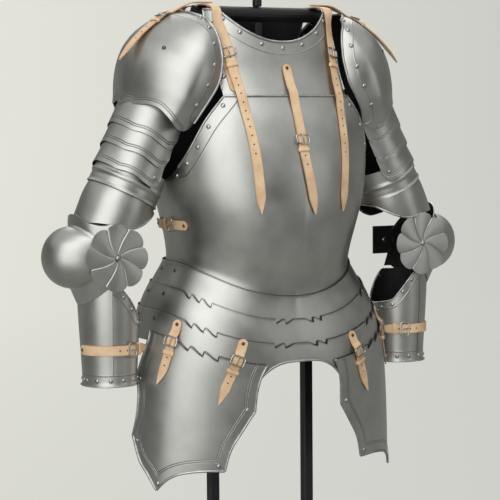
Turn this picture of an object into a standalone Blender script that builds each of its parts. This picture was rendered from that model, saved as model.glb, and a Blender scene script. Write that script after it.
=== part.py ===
# A half suit of plate armour hanging on a two-legged armour stand.
# Metres, +Z up. The suit faces -Y and +X is its left. The origin is under the middle of the stand's base.
import math
from collections import namedtuple

import bpy
from mathutils import Vector

# Sheet steel, leather and the clearances between layers
WALL = 0.0015
SEAM_GAP = 0.0003
LAYER = 0.0022
LIP = 0.0018
STRAP_THICK = 0.0022
STRAP_HALF_WIDTH = 0.0083
STRAP_GAP = 0.0009

# Cuirass
TORSO_Y = 0.03
WAIST_Z = 0.974
WAIST_RISE = 0.055
RISE_FADE_FROM = 1.05
RISE_FADE_TO = 1.17
WAIST_FLANGE = 0.012
SEAM_Z = 1.303
SEAM_OVERLAP = 0.014
NECK_FRONT_Z = 1.393
NECK_RISE = 0.054
NECK_HALF_WIDTH = 0.104
SHOULDER_Z = 1.45
SIDE_ANGLE = 95.0

# Skirt of lames, heights measured at the middle of the front
LAME_TOPS = (0.974, 0.936, 0.897)
LAME_BOTTOMS = (0.926, 0.887, 0.846)
LAME_END_ANGLE = 96.5
SIDE_SEAM_ANGLE = 0.22
ARCH_Z = 0.868
ARCH_DROP = 0.033
ARCH_HALF_WIDTH = 0.078
ARCH_BLEND = 0.035
TASSET_TOP_Z = 0.862
TASSET_GAP = 0.0008
CUSP_DEPTH = 0.0072
CUSP_STEP = 0.8

# Arms
ARM_SLOPE = math.radians(25.5)
ARM_FOOT = Vector((0.305, 0.02, 1.048))
SHOULDER_ALONG = 0.3235
ELBOW = Vector((0.296, 0.02, 1.045))
BALL_RADIUS = 0.0508
EAR_HALF = 0.025
COUTER_HALF_WIDTH = 0.0600
ELBOW_SQUARENESS = 2.3
VAMBRACE_X = 0.283
VAMBRACE_SEAM = 71.0
VAMBRACE_TOP = 0.9935
CUFF_Z = 0.8345
ROSETTE_RADIUS = 0.052
PETALS = 8

# Stand
STAND_Y = 0.022
BASE_SIZE = (0.44, 0.36, 0.008)
LEG_X = 0.093
LEG_HALF = 0.0085
CROSSBAR_Z = 1.0
CROSSBAR_HALF = 0.012
POST_HALF = 0.0063
BAR_Z = 1.4425
BAR_RADIUS = 0.0125
BAR_HALF_LENGTH = 0.122
POST_TOP = 1.525

Section = namedtuple("Section", "height half_width front back squareness ridge")
TORSO = (
    Section(0.600, 0.234, 0.120, 0.150, 2.5, 0.000),
    Section(0.700, 0.230, 0.127, 0.150, 2.5, 0.000),
    Section(0.800, 0.222, 0.134, 0.150, 2.5, 0.000),
    Section(0.862, 0.208, 0.142, 0.149, 2.5, 0.000),
    Section(0.905, 0.195, 0.141, 0.146, 2.5, 0.001),
    Section(0.940, 0.177, 0.136, 0.141, 2.4, 0.002),
    Section(0.974, 0.159, 0.130, 0.133, 2.3, 0.004),
    Section(0.995, 0.159, 0.133, 0.132, 2.3, 0.005),
    Section(1.051, 0.167, 0.152, 0.135, 2.3, 0.005),
    Section(1.122, 0.178, 0.165, 0.138, 2.3, 0.003),
    Section(1.200, 0.185, 0.161, 0.140, 2.4, 0.000),
    Section(1.260, 0.178, 0.143, 0.140, 2.6, 0.000),
    Section(1.303, 0.165, 0.124, 0.130, 2.8, 0.000),
    Section(1.342, 0.150, 0.108, 0.118, 2.8, 0.000),
    Section(1.380, 0.140, 0.097, 0.106, 2.8, 0.000),
    Section(1.420, 0.132, 0.085, 0.093, 2.8, 0.000),
    Section(1.460, 0.127, 0.070, 0.082, 2.8, 0.000),
)

Edge = namedtuple("Edge", "height angle")
BREAST_ARMHOLE = (
    Edge(1.158, 95.0),
    Edge(1.166, 86.0),
    Edge(1.176, 79.0),
    Edge(1.208, 66.5),
    Edge(1.265, 52.0),
    Edge(1.303, 38.7),
)
UPPER_ARMHOLE = (
    Edge(1.285, 38.2),
    Edge(1.303, 38.7),
    Edge(1.342, 46.0),
    Edge(1.380, 55.5),
    Edge(1.420, 63.0),
    Edge(1.450, 68.0),
)
BACK_ARMHOLE = (
    Edge(1.158, 92.0),
    Edge(1.175, 80.0),
    Edge(1.210, 70.0),
    Edge(1.270, 60.0),
    Edge(1.340, 56.0),
    Edge(1.400, 60.0),
    Edge(1.450, 70.0),
)

# Tasset edges, from the top (0) to the bottom (1), and from the inner side (0) to the outer side (1)
Side = namedtuple("Side", "down inner outer")
TASSET_SIDES = (
    Side(0.00, 13.2, 84.0),
    Side(0.10, 15.2, 84.0),
    Side(0.22, 16.2, 85.2),
    Side(0.42, 16.4, 88.5),
    Side(0.47, 16.6, 87.6),
    Side(0.62, 21.5, 85.6),
    Side(0.80, 26.5, 86.4),
    Side(1.00, 29.0, 89.5),
)
Hem = namedtuple("Hem", "across height")
TASSET_HEM = (
    Hem(0.00, 0.692),
    Hem(0.20, 0.693),
    Hem(0.40, 0.688),
    Hem(0.52, 0.678),
    Hem(0.635, 0.660),
    Hem(0.75, 0.684),
    Hem(0.88, 0.706),
    Hem(1.00, 0.743),
)

# Groups of cusps on an upper edge, in degrees round the body; lean is the end of a tooth that is cut down
Cusps = namedtuple("Cusps", "start tooth teeth lean")
LAME_CUSPS = (
    (),
    (Cusps(1.6, 4.8, 2, 1), Cusps(47.4, 7.4, 3, 0)),
    (Cusps(1.6, 4.8, 2, 1), Cusps(40.0, 7.4, 3, 0)),
)
TASSET_CUSPS = (Cusps(37.0, 8.4, 3, 0),)

Bulge = namedtuple("Bulge", "along side face")
PAULDRON = (
    Bulge(-0.100, 0.0640, 0.084),
    Bulge(-0.085, 0.0655, 0.087),
    Bulge(-0.070, 0.0680, 0.091),
    Bulge(-0.045, 0.0775, 0.100),
    Bulge(-0.020, 0.0850, 0.104),
    Bulge(0.000, 0.0875, 0.105),
    Bulge(0.020, 0.0865, 0.103),
    Bulge(0.047, 0.0780, 0.095),
    Bulge(0.0815, 0.0560, 0.0755),
    Bulge(0.098, 0.0380, 0.058),
)
PAULDRON_REAR = 1.09
PAULDRON_REAR_REACH = 0.92
PAULDRON_FLATNESS = 1.55
Spread = namedtuple("Spread", "along angle")
PAULDRON_SPREAD = (
    Spread(-0.100, 117.0),
    Spread(-0.070, 116.0),
    Spread(-0.045, 113.5),
    Spread(0.000, 115.0),
    Spread(0.020, 114.0),
    Spread(0.050, 110.0),
    Spread(0.0815, 98.0),
    Spread(0.098, 80.0),
)

Hollow = namedtuple("Hollow", "across along")
PAULDRON_HEM = (
    Hollow(0.00, -0.0846),
    Hollow(0.17, -0.0770),
    Hollow(0.25, -0.0800),
    Hollow(0.45, -0.0750),
    Hollow(0.58, -0.0755),
    Hollow(0.70, -0.0845),
    Hollow(0.79, -0.0930),
    Hollow(0.87, -0.0945),
    Hollow(0.94, -0.0885),
    Hollow(1.00, -0.0770),
)

Ring = namedtuple("Ring", "along radius")
ARM_LAMES = (
    (Ring(0.262, 0.0640), Ring(0.234, 0.0640), Ring(0.208, 0.0648)),
    (Ring(0.222, 0.0620), Ring(0.195, 0.0626), Ring(0.174, 0.0642)),
    (Ring(0.188, 0.0606), Ring(0.161, 0.0614), Ring(0.140, 0.0637)),
)
Wave = namedtuple("Wave", "angle drop")
LAME_WAVE = (
    Wave(0.0, 0.000),
    Wave(30.0, 0.0035),
    Wave(45.0, 0.0060),
    Wave(60.0, 0.0045),
    Wave(75.0, 0.0055),
    Wave(90.0, 0.0095),
    Wave(105.0, 0.0110),
    Wave(113.0, 0.0060),
    Wave(118.0, -0.0080),
)
TURNER_TILT = 0.004
TURNER = (
    Ring(0.156, 0.0588),
    Ring(0.134, 0.0590),
    Ring(0.129, 0.0612),
    Ring(0.124, 0.0592),
    Ring(0.116, 0.0596),
    Ring(0.107, 0.0618),
)
CANNON = (
    Ring(0.030, 0.0583),
    Ring(0.060, 0.0598),
    Ring(0.085, 0.0604),
    Ring(0.103, 0.0588),
    Ring(0.113, 0.0569),
    Ring(0.122, 0.0568),
)
Foot = namedtuple("Foot", "angle along")
CANNON_FOOT = (
    Foot(0.0, 0.0285),
    Foot(45.0, 0.040),
    Foot(80.0, 0.049),
    Foot(106.0, 0.056),
    Foot(122.0, 0.068),
    Foot(137.0, 0.083),
    Foot(155.0, 0.097),
    Foot(180.0, 0.102),
)
Sleeve = namedtuple("Sleeve", "height radius")
VAMBRACE = (
    Sleeve(0.8345, 0.0478),
    Sleeve(0.841, 0.0461),
    Sleeve(0.880, 0.0478),
    Sleeve(0.930, 0.0508),
    Sleeve(0.970, 0.0526),
    Sleeve(1.010, 0.0528),
)
INNER_TOP = (
    Foot(66.0, 0.9935),
    Foot(88.0, 0.9925),
    Foot(100.0, 0.982),
    Foot(124.0, 0.955),
    Foot(135.0, 0.945),
    Foot(180.0, 0.938),
)
Lame = namedtuple("Lame", "angle reach half_width")
ELBOW_UPPER = (
    Lame(24.0, 0.0728, 0.0580),
    Lame(36.0, 0.0732, 0.0580),
    Lame(45.7, 0.0735, 0.0580),
    Lame(54.1, 0.0864, 0.0585),
)
ELBOW_LOWER = (
    Lame(-26.0, 0.0728, 0.0580),
    Lame(-38.0, 0.0732, 0.0580),
    Lame(-46.5, 0.0735, 0.0570),
)
LOWER_LAME_EDGE = 0.968
LOWER_LAME_CLIMB = 0.0475
LOWER_LAME_END = 0.998

# Strap routes down the body
Route = namedtuple("Route", "height x under width thick")
PLAIN = (STRAP_HALF_WIDTH, STRAP_THICK)
BUCKLE = (0.0108, 0.0058)
KEEPER = (0.0095, 0.0050)
TIP = (0.0012, STRAP_THICK)


def clear_scene():
    for obj in list(bpy.data.objects):
        bpy.data.objects.remove(obj)


def finish(name, color, roughness, metallic):
    material = bpy.data.materials.new(name)
    material.use_nodes = True
    shader = material.node_tree.nodes["Principled BSDF"]
    shader.inputs["Base Color"].default_value = (*color, 1.0)
    shader.inputs["Roughness"].default_value = roughness
    shader.inputs["Metallic"].default_value = metallic
    return material


def blend(rows, key, column):
    """Reads a column of a table at a key by a smooth curve through its rows."""
    keys = [row[0] for row in rows]
    values = [getattr(row, column) for row in rows]
    if key <= keys[0]:
        return values[0]
    if key >= keys[-1]:
        return values[-1]
    i = max(k for k in range(len(keys) - 1) if keys[k] <= key)
    slopes = []
    for k in (i, i + 1):
        before, after = max(k - 1, 0), min(k + 1, len(keys) - 1)
        slopes.append((values[after] - values[before]) / (keys[after] - keys[before]))
    span = keys[i + 1] - keys[i]
    t = (key - keys[i]) / span
    return (
        (2 * t**3 - 3 * t**2 + 1) * values[i]
        + (t**3 - 2 * t**2 + t) * span * slopes[0]
        + (3 * t**2 - 2 * t**3) * values[i + 1]
        + (t**3 - t**2) * span * slopes[1]
    )


def straight(rows, key, column):
    """Reads a column of a table at a key by straight lines between its rows."""
    for low, high in zip(rows, rows[1:]):
        if key <= high[0]:
            t = max(0.0, (key - low[0]) / (high[0] - low[0]))
            return getattr(low, column) * (1 - t) + getattr(high, column) * t
    return getattr(rows[-1], column)


def power(value, exponent):
    return math.copysign(abs(value) ** exponent, value)


# The body's surface: angle 0 is the front, 90 the suit's left side, 180 the back

def rise(angle):
    """How far the waist line and the lames climb from the front towards the sides and back."""
    folded = abs((angle + 180) % 360 - 180)
    return WAIST_RISE * math.sin(math.radians(min(folded, 90))) ** 2


def table_height(angle, z):
    t = min(1.0, max(0.0, (z - RISE_FADE_FROM) / (RISE_FADE_TO - RISE_FADE_FROM)))
    return z - rise(angle) * (1 - t * t * (3 - 2 * t))


def torso_skin(angle, z):
    height = table_height(angle, z)
    turn = math.radians(angle)
    exponent = 2 / blend(TORSO, height, "squareness")
    x = blend(TORSO, height, "half_width") * power(math.sin(turn), exponent)
    forward = math.cos(turn)
    depth = blend(TORSO, height, "front" if forward > 0 else "back")
    crease = blend(TORSO, height, "ridge") * max(0.0, 1 - abs(x) / 0.06) ** 2
    y = TORSO_Y - depth * power(forward, exponent)
    return Vector((x, y - (crease if forward > 0 else 0), z))


def torso(angle, z, lift=0.0):
    across = torso_skin(angle + 0.5, z) - torso_skin(angle - 0.5, z)
    up = torso_skin(angle, z + 0.001) - torso_skin(angle, z - 0.001)
    return torso_skin(angle, z) + lift * across.cross(up).normalized()


def angle_at(x, z, back=False):
    """The angle at which the body's surface has this x at this height."""
    angle = 45.0
    for _ in range(8):
        height = table_height(angle, z)
        share = min(1.0, abs(x) / blend(TORSO, height, "half_width"))
        angle = math.degrees(math.asin(share ** (blend(TORSO, height, "squareness") / 2)))
    angle = 180 - angle if back else angle
    return math.copysign(angle, x)


def front_height(angle, height):
    """World height of a line that lies this high at the middle of the front and follows the waist."""
    return height + rise(angle)


def lip(distance, width=0.03):
    return LIP * max(0.0, 1 - distance / width)


# Solids

def add_object(name, mesh, material):
    mesh.materials.append(material)
    obj = bpy.data.objects.new(name, mesh)
    bpy.context.scene.collection.objects.link(obj)
    mesh.shade_smooth()
    mesh.set_sharp_from_angle(angle=math.radians(35))
    return obj


def face_outwards(mesh, core):
    facing = sum((face.center - core).dot(face.normal) * face.area for face in mesh.polygons)
    if facing < 0:
        mesh.flip_normals()


def plate(name, surface, across, along, core, material, closed=False, wall=WALL):
    """A bent plate: its outer face is surface(u, v), and its wall grows towards the core point's side."""
    points = [surface(u, v) for v in along for u in across]
    wide = len(across)
    faces = []
    for row in range(len(along) - 1):
        for column in range(wide if closed else wide - 1):
            after = (column + 1) % wide
            low, high = row * wide, (row + 1) * wide
            faces.append((low + column, low + after, high + after, high + column))
    mesh = bpy.data.meshes.new(name)
    mesh.from_pydata(points, [], faces)
    face_outwards(mesh, core)
    obj = add_object(name, mesh, material)
    thickness = obj.modifiers.new("Wall", "SOLIDIFY")
    thickness.thickness = wall
    thickness.offset = -1
    return obj


def swept(name, stations, material):
    """A closed bar through stations of (centre, across, out, half width, thickness)."""
    points, faces = [], []
    for centre, across, out, half, thick in stations:
        for side, face in ((-1, -1), (1, -1), (1, 1), (-1, 1)):
            points.append(centre + across * half * side + out * thick / 2 * face)
    last = 4 * (len(stations) - 1)
    for low in range(0, last, 4):
        for k in range(4):
            after = (k + 1) % 4
            faces.append((low + k, low + after, low + 4 + after, low + 4 + k))
    faces.append((3, 2, 1, 0))
    faces.append((last, last + 1, last + 2, last + 3))
    mesh = bpy.data.meshes.new(name)
    mesh.from_pydata(points, [], faces)
    volume = sum(face.center.dot(face.normal) * face.area for face in mesh.polygons)
    if volume < 0:
        mesh.flip_normals()
    return add_object(name, mesh, material)


def ribbon(name, marks, material):
    """A strap through marks of (point, out, half width, thickness), its width square to its run."""
    stations = []
    for i, (point, out, half, thick) in enumerate(marks):
        ahead = marks[min(i + 1, len(marks) - 1)][0]
        behind = marks[max(i - 1, 0)][0]
        run = (ahead - behind).normalized()
        across = run.cross(out).normalized()
        stations.append((point, across, across.cross(run), half, thick))
    return swept(name, stations, material)


def turned(name, rings, material, sides, wave=None):
    """A solid turned round +Y through rings of (radius, y), closed at both ends on the axis."""
    points = [Vector((0, rings[0][1], 0))]
    for radius, y in rings[1:-1]:
        for k in range(sides):
            angle = 2 * math.pi * k / sides
            point = Vector((radius * math.cos(angle), y, radius * math.sin(angle)))
            points.append(wave(point, radius, angle) if wave else point)
    points.append(Vector((0, rings[-1][1], 0)))
    end = len(points) - 1
    faces = [(0, 1 + k, 1 + (k + 1) % sides) for k in range(sides)]
    for ring in range(len(rings) - 3):
        low = 1 + ring * sides
        for k in range(sides):
            after = (k + 1) % sides
            faces.append((low + after, low + k, low + sides + k, low + sides + after))
    low = 1 + (len(rings) - 3) * sides
    faces += [(end, low + (k + 1) % sides, low + k) for k in range(sides)]
    mesh = bpy.data.meshes.new(name)
    mesh.from_pydata(points, [], faces)
    volume = sum(face.center.dot(face.normal) * face.area for face in mesh.polygons)
    if volume < 0:
        mesh.flip_normals()
    return add_object(name, mesh, material)


def rod(name, low, high, radius, material, sides=16):
    bpy.ops.mesh.primitive_cylinder_add(vertices=sides, radius=radius, depth=(high - low).length)
    obj = bpy.context.object
    obj.name = name
    obj.location = (low + high) / 2
    obj.rotation_mode = "QUATERNION"
    obj.rotation_quaternion = (high - low).to_track_quat("Z", "Y")
    obj.data.materials.append(material)
    return obj


def block(name, size, centre, material):
    bpy.ops.mesh.primitive_cube_add(size=1)
    obj = bpy.context.object
    obj.name = name
    obj.data.transform(((size[0], 0, 0, 0), (0, size[1], 0, 0), (0, 0, size[2], 0), (0, 0, 0, 1)))
    obj.location = centre
    obj.data.materials.append(material)
    edge = obj.modifiers.new("Edge", "BEVEL")
    edge.width = 0.0015
    edge.segments = 1
    return obj


def steps(count, low=0.0, high=1.0):
    return [low + (high - low) * k / count for k in range(count + 1)]


def both_ways(positive):
    return [-value for value in reversed(positive) if value] + list(positive)


# Cuirass

BODY_CORE = Vector((0, TORSO_Y, 1.1))
BREAST_ROWS = (0.0, 0.04, 0.12, 0.22, 0.33, 0.44, 0.55, 0.65, 0.76, 0.87, 0.97, 1.0)
BREAST_STATIONS = both_ways((0.0, 0.09, 0.18, 0.27, 0.36, 0.45, 0.54, 0.63, 0.72, 0.81, 0.89, 0.96, 1.0))


def breast_lower(steel):
    def surface(u, v):
        low = front_height(u * SIDE_ANGLE, WAIST_Z) - WAIST_FLANGE
        z = low + (SEAM_Z - low) * v
        angle = u * straight(BREAST_ARMHOLE, z, "angle")
        edge = lip((1 - abs(u)) * 1.0, 0.04) if z > BREAST_ARMHOLE[1].height else 0
        return torso(angle, z, max(edge, lip(1 - v)))

    plate("breast_lower", surface, BREAST_STATIONS, BREAST_ROWS, BODY_CORE, steel)


def neck_height(u):
    z = NECK_FRONT_Z
    for _ in range(8):
        x = torso_skin(u * straight(UPPER_ARMHOLE, z, "angle"), z).x
        z = NECK_FRONT_Z + NECK_RISE * min(1.0, abs(x) / NECK_HALF_WIDTH) ** 2.2
    return z


def breast_upper(steel):
    low = SEAM_Z - SEAM_OVERLAP

    def surface(u, v):
        z = low + (neck_height(u) - low) * v
        angle = u * straight(UPPER_ARMHOLE, z, "angle")
        edge = lip(1 - abs(u), 0.05) if z > SEAM_Z + 0.008 else 0
        tuck = 0.001 if v == 0 else 0
        return torso(angle, z, max(edge, lip(1 - v, 0.04)) - LAYER - tuck)

    plate("breast_upper", surface, BREAST_STATIONS, [0.0, 0.26, 0.5, 0.75, 0.96, 1.0], BODY_CORE, steel)


def backplate(steel):
    # The first two columns copy the breastplate's last two, so that the plates lie evenly on each other.
    first = BREAST_STATIONS[-1] * SIDE_ANGLE
    second = BREAST_STATIONS[-3] * SIDE_ANGLE
    angles = both_ways([0.0, 12.0, 24.0, 36.0, 48.0, 60.0, 72.0, 180 - first, 180 - second])
    widest = angles[-1]

    def surface(u, v):
        low = front_height(180 - u * widest, WAIST_Z) - WAIST_FLANGE
        z = low + (SEAM_Z - low) * min(v, 1) + (SHOULDER_Z - SEAM_Z) * max(v - 1, 0)
        reach = widest if z < BACK_ARMHOLE[0].height else straight(BACK_ARMHOLE, z, "angle")
        return torso(180 - u * reach, z, lip(2 - v, 0.04) - LAYER)

    across = [angle / widest for angle in angles]
    rows = BREAST_ROWS[:-2] + (1.0, 1.35, 1.7, 1.96, 2.0)
    plate("backplate", surface, across, rows, BODY_CORE, steel)


# Skirt

def cusp(groups, angle):
    """How far an upper edge is cut down at this angle round the body."""
    angle = abs(angle)
    for group in groups:
        for tooth in range(group.teeth):
            start = group.start + tooth * group.tooth
            share = (angle - start) / (group.tooth - CUSP_STEP)
            if 0 <= share <= 1:
                return CUSP_DEPTH * (share if group.lean else 1 - share)
    return 0.0


def cusp_angles(groups):
    marks = []
    for group in groups:
        for tooth in range(group.teeth):
            start = group.start + tooth * group.tooth
            marks += [start, start + group.tooth - CUSP_STEP]
        marks.append(group.start + group.teeth * group.tooth)
    return marks


def arch(angle, z):
    """Height of the third lame's lower edge: the arch between the tassets, then a level run under them."""
    x = abs(torso_skin(angle, ARCH_Z).x)
    if x < ARCH_HALF_WIDTH:
        return ARCH_Z - ARCH_DROP * (x / ARCH_HALF_WIDTH) ** 3.5
    share = min(1.0, (x - ARCH_HALF_WIDTH) / ARCH_BLEND)
    return (ARCH_Z - ARCH_DROP) * (1 - share) + z * share


def fauld(steel):
    plain = [0.0, 16.0, 22.0, 28.0, 34.0, 72.0, 79.0, 88.0, LAME_END_ANGLE]
    for number, (top, bottom) in enumerate(zip(LAME_TOPS, LAME_BOTTOMS), 1):
        groups = LAME_CUSPS[number - 1]
        extra = cusp_angles(LAME_CUSPS[1] + LAME_CUSPS[2])
        if not groups:
            extra = [6.4, 11.2, 40.0, 47.4, 54.8, 62.2]
        angles = both_ways(sorted({round(angle, 3) for angle in plain + extra}))

        def surface(angle, v, number=number, top=top, bottom=bottom, groups=groups):
            high = front_height(angle, top) - cusp(groups, angle)
            low = front_height(angle, bottom)
            if number == 3:
                low = arch(angle, low)
            z = high + (low - high) * v
            roped = lip(1 - v, 0.12) if number == 3 and abs(angle) < 14 else 0
            return torso(angle, z, LAYER * number + SEAM_GAP + roped)

        rows = [0.0, 0.5, 1.0] if number < 3 else [0.0, 0.45, 0.88, 1.0]
        plate(f"fauld_{number}", surface, angles, rows, BODY_CORE, steel)


def culet(steel):
    end = 180 - LAME_END_ANGLE - SIDE_SEAM_ANGLE
    angles = both_ways([0.0, 14.0, 28.0, 42.0, 56.0, 70.0, end])
    for number, (top, bottom) in enumerate(zip(LAME_TOPS, LAME_BOTTOMS), 1):
        def surface(angle, v, number=number, top=top, bottom=bottom):
            z = front_height(90, top + (bottom - top) * v)
            return torso(180 - angle, z, LAYER * number + SEAM_GAP)

        plate(f"culet_{number}", surface, angles, [0.0, 0.5, 1.0], BODY_CORE, steel)


def tasset_point(u, v, lift):
    inner = straight(TASSET_SIDES, v, "inner")
    outer = straight(TASSET_SIDES, v, "outer")
    angle = inner + (outer - inner) * u
    top_angle = TASSET_SIDES[0].inner + (TASSET_SIDES[0].outer - TASSET_SIDES[0].inner) * u
    high = front_height(top_angle, TASSET_TOP_Z) - cusp(TASSET_CUSPS, top_angle)
    z = high + (straight(TASSET_HEM, u, "height") - high) * v
    return torso(angle, z, lift)


def tassets(steel):
    wide = TASSET_SIDES[0].outer - TASSET_SIDES[0].inner
    cusps = [(angle - TASSET_SIDES[0].inner) / wide for angle in cusp_angles(TASSET_CUSPS)]
    across = sorted([0.0, 0.03, 0.12, 0.22, 0.30, 0.76, 0.87, 0.97, 1.0] + cusps)
    down = [0.0, 0.04, 0.14, 0.28, 0.42, 0.60, 0.80, 0.96, 1.0]
    for side, sign in (("L", 1), ("R", -1)):
        def surface(u, v, sign=sign):
            turned_edge = max(lip(u), lip(1 - u), lip(v, 0.04), lip(1 - v, 0.04))
            point = tasset_point(u, v, LAYER * 4 + TASSET_GAP + turned_edge)
            return Vector((sign * point.x, point.y, point.z))

        core = Vector((0, TORSO_Y, 0.8))
        plate(f"tasset_{side}", surface, across, down, core, steel)


# Arms, made for the left side and mirrored for the right

def mirrored(point, sign):
    return Vector((sign * point.x, point.y, point.z))


def sleeve(angle, along, radius):
    """A point round the upper arm's axis: angle 0 is outward, 90 the front, 180 towards the body."""
    turn = math.radians(angle)
    outward = Vector((math.cos(ARM_SLOPE), 0, math.sin(ARM_SLOPE)))
    upward = Vector((-math.sin(ARM_SLOPE), 0, math.cos(ARM_SLOPE)))
    front = Vector((0, -1, 0))
    return ARM_FOOT + upward * along + (outward * math.cos(turn) + front * math.sin(turn)) * radius


def pauldron_point(u, along, lift=0.0):
    angle = u * straight(PAULDRON_SPREAD, along, "angle")
    side, face = blend(PAULDRON, along, "side"), blend(PAULDRON, along, "face")
    if u < 0:
        angle *= PAULDRON_REAR_REACH
        face *= PAULDRON_REAR
    turn = math.radians(angle)
    flatness = PAULDRON_FLATNESS if 0 < angle < 90 else 2
    reach = abs(math.cos(turn) / side) ** flatness + abs(math.sin(turn) / face) ** flatness
    return sleeve(angle, SHOULDER_ALONG + along, reach ** (-1 / flatness) + lift)


def pauldron(side, sign, steel):
    def surface(u, v):
        low = straight(PAULDRON_HEM, abs(u), "along")
        along = low + (PAULDRON[-1].along - low) * v
        edge = max(lip(1 - abs(u), 0.04), lip(v, 0.03) * 0.4)
        return mirrored(pauldron_point(u, along, edge), sign)

    across = both_ways((0.0, 0.14, 0.26, 0.40, 0.54, 0.68, 0.80, 0.89, 0.96, 1.0))
    rows = [0.0, 0.08, 0.2, 0.34, 0.48, 0.62, 0.76, 0.9, 1.0]
    core = mirrored(sleeve(0, SHOULDER_ALONG, 0), sign)
    plate(f"pauldron_{side}", surface, across, rows, core, steel)


def arm_lames(side, sign, steel):
    reach = LAME_WAVE[-1].angle
    across = both_ways((0, 15, 30, 45, 60, 75, 90, 105, 113, reach))
    for number, rings in enumerate(ARM_LAMES, 1):
        def surface(angle, v, rings=rings):
            drop = straight(LAME_WAVE, abs(angle), "drop") * v
            rounding = 0.012 * max(0.0, abs(angle) - 105) / 13 * (1 - v)
            along = rings[0].along + (rings[-1].along - rings[0].along) * v
            radius = straight(rings[::-1], along, "radius")
            return mirrored(sleeve(angle, along - drop - rounding, radius), sign)

        core = mirrored(sleeve(0, rings[1].along, 0), sign)
        plate(f"arm_lame_{number}_{side}", surface, across, [0.0, 0.5, 1.0], core, steel)


def turner_ring(side, sign, steel):
    def surface(angle, row):
        ring = TURNER[row]
        along = ring.along - TURNER_TILT * math.sin(math.radians(angle))
        return mirrored(sleeve(angle, along, ring.radius), sign)

    angles = [360 * k / 24 for k in range(24)]
    core = mirrored(sleeve(0, 0.13, 0), sign)
    plate(f"turner_ring_{side}", surface, angles, range(len(TURNER)), core, steel, closed=True)


def upper_cannon(side, sign, steel):
    def surface(angle, v):
        folded = angle if angle <= 180 else 360 - angle
        foot = straight(CANNON_FOOT, folded, "along")
        along = foot + (CANNON[-1].along - foot) * v
        roped = LIP * 0.6 if v == 0 and folded > 100 else 0
        return mirrored(sleeve(angle, along, blend(CANNON, along, "radius") + roped), sign)

    angles = [360 * k / 24 for k in range(24)]
    core = mirrored(sleeve(0, 0.09, 0), sign)
    rows = [0.0, 0.3, 0.62, 0.9, 1.0]
    plate(f"upper_cannon_{side}", surface, angles, rows, core, steel, closed=True)


def elbow_point(angle, w, reach, half_width, squareness=ELBOW_SQUARENESS):
    """A cup round the elbow's pivot: angle turns about the pivot, w runs across from front to back."""
    turn, lean = math.radians(angle), math.radians(w)
    out = reach * power(math.cos(lean), 2 / squareness)
    y = half_width * power(math.sin(lean), 2 / squareness)
    return ELBOW + Vector((out * math.cos(turn), y, out * math.sin(turn)))


def ball_reach(angle):
    turn = math.radians(angle)
    return BALL_RADIUS * (math.cos(turn) + math.sqrt(1 - math.sin(turn) ** 2))


ACROSS_ELBOW = both_ways((0.0, 14.0, 28.0, 42.0, 56.0, 70.0, 82.0))


def couter(side, sign, steel):
    def surface(w, angle):
        return mirrored(elbow_point(angle, w, ball_reach(angle), COUTER_HALF_WIDTH), sign)

    angles = [-42.0, -32.0, -21.0, -10.0, 0.0, 10.0, 21.0, 31.0, 41.0]
    plate(f"couter_{side}", surface, ACROSS_ELBOW, angles, mirrored(ELBOW, sign), steel)


def elbow_lames(side, sign, steel):
    def upper(w, row):
        lame = ELBOW_UPPER[row]
        return mirrored(elbow_point(lame.angle, w, lame.reach, lame.half_width), sign)

    def lower(w, row):
        lame = ELBOW_LOWER[min(row, len(ELBOW_LOWER) - 1)]
        cup = elbow_point(lame.angle, w, lame.reach, lame.half_width)
        climb = LOWER_LAME_CLIMB * (1 - math.cos(math.radians(w)))
        edge = forearm(-w, min(LOWER_LAME_EDGE + climb, LOWER_LAME_END), WALL + 0.0006)
        share = max(0, row - len(ELBOW_LOWER) + 1) / 2
        return mirrored(cup.lerp(edge, share), sign)

    core = mirrored(ELBOW, sign)
    rows = range(len(ELBOW_UPPER))
    plate(f"elbow_lame_upper_{side}", upper, ACROSS_ELBOW, rows, core, steel)
    rows = range(len(ELBOW_LOWER) + 2)
    plate(f"elbow_lame_lower_{side}", lower, ACROSS_ELBOW, rows, core, steel)


def rosette(side, sign, steel):
    front = COUTER_HALF_WIDTH

    def petal(point, radius, angle):
        if radius < 0.01:
            return point
        share = radius / ROSETTE_RADIUS
        lobe = abs(math.cos(angle * PETALS / 2))
        scale = 1 + (lobe ** 0.6 - 0.75) * 0.10 * share**3
        swirl = -0.35 * share
        raised = 0.0016 * share * (lobe - 0.5) * (1 if point.y < -front - 0.0012 else 0)
        turn = angle + swirl
        return Vector(
            (radius * scale * math.cos(turn), point.y - raised, radius * scale * math.sin(turn))
        )

    dish, thin = 0.0040, 0.0016
    rings = [
        (0, -front - 0.0062),
        (0.0035, -front - 0.0058),
        (0.0050, -front - 0.0036),
        (0.0160, -front - thin - 0.0010),
        (0.0340, -front - thin - 0.0014),
        (ROSETTE_RADIUS, -front - thin - dish * 0.5),
        (ROSETTE_RADIUS, -front - dish * 0.5),
        (0.0340, -front - 0.0004),
        (0.0160, -front),
        (0.0042, -front),
        (0.0042, -front + 0.008),
        (0, -front + 0.008),
    ]
    obj = turned(f"rosette_{side}", rings, steel, 4 * PETALS, petal)
    obj.location = mirrored(ELBOW, sign)


def elbow_ear(side, sign, steel):
    """The square plate with the pivot's rivet behind the elbow."""
    back = COUTER_HALF_WIDTH

    def square(point, radius, angle):
        if radius < EAR_HALF:
            return point
        scale = (abs(math.cos(angle)) ** 5 + abs(math.sin(angle)) ** 5) ** -0.2
        return Vector((point.x * scale, point.y, point.z * scale))

    rings = [
        (0, back + 0.0045),
        (0.0040, back + 0.0040),
        (0.0055, back + WALL),
        (EAR_HALF, back + WALL),
        (EAR_HALF, back),
        (0.0042, back),
        (0.0042, back - 0.008),
        (0, back - 0.008),
    ]
    obj = turned(f"elbow_ear_{side}", rings, steel, 24, square)
    obj.location = mirrored(ELBOW, sign)


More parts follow.
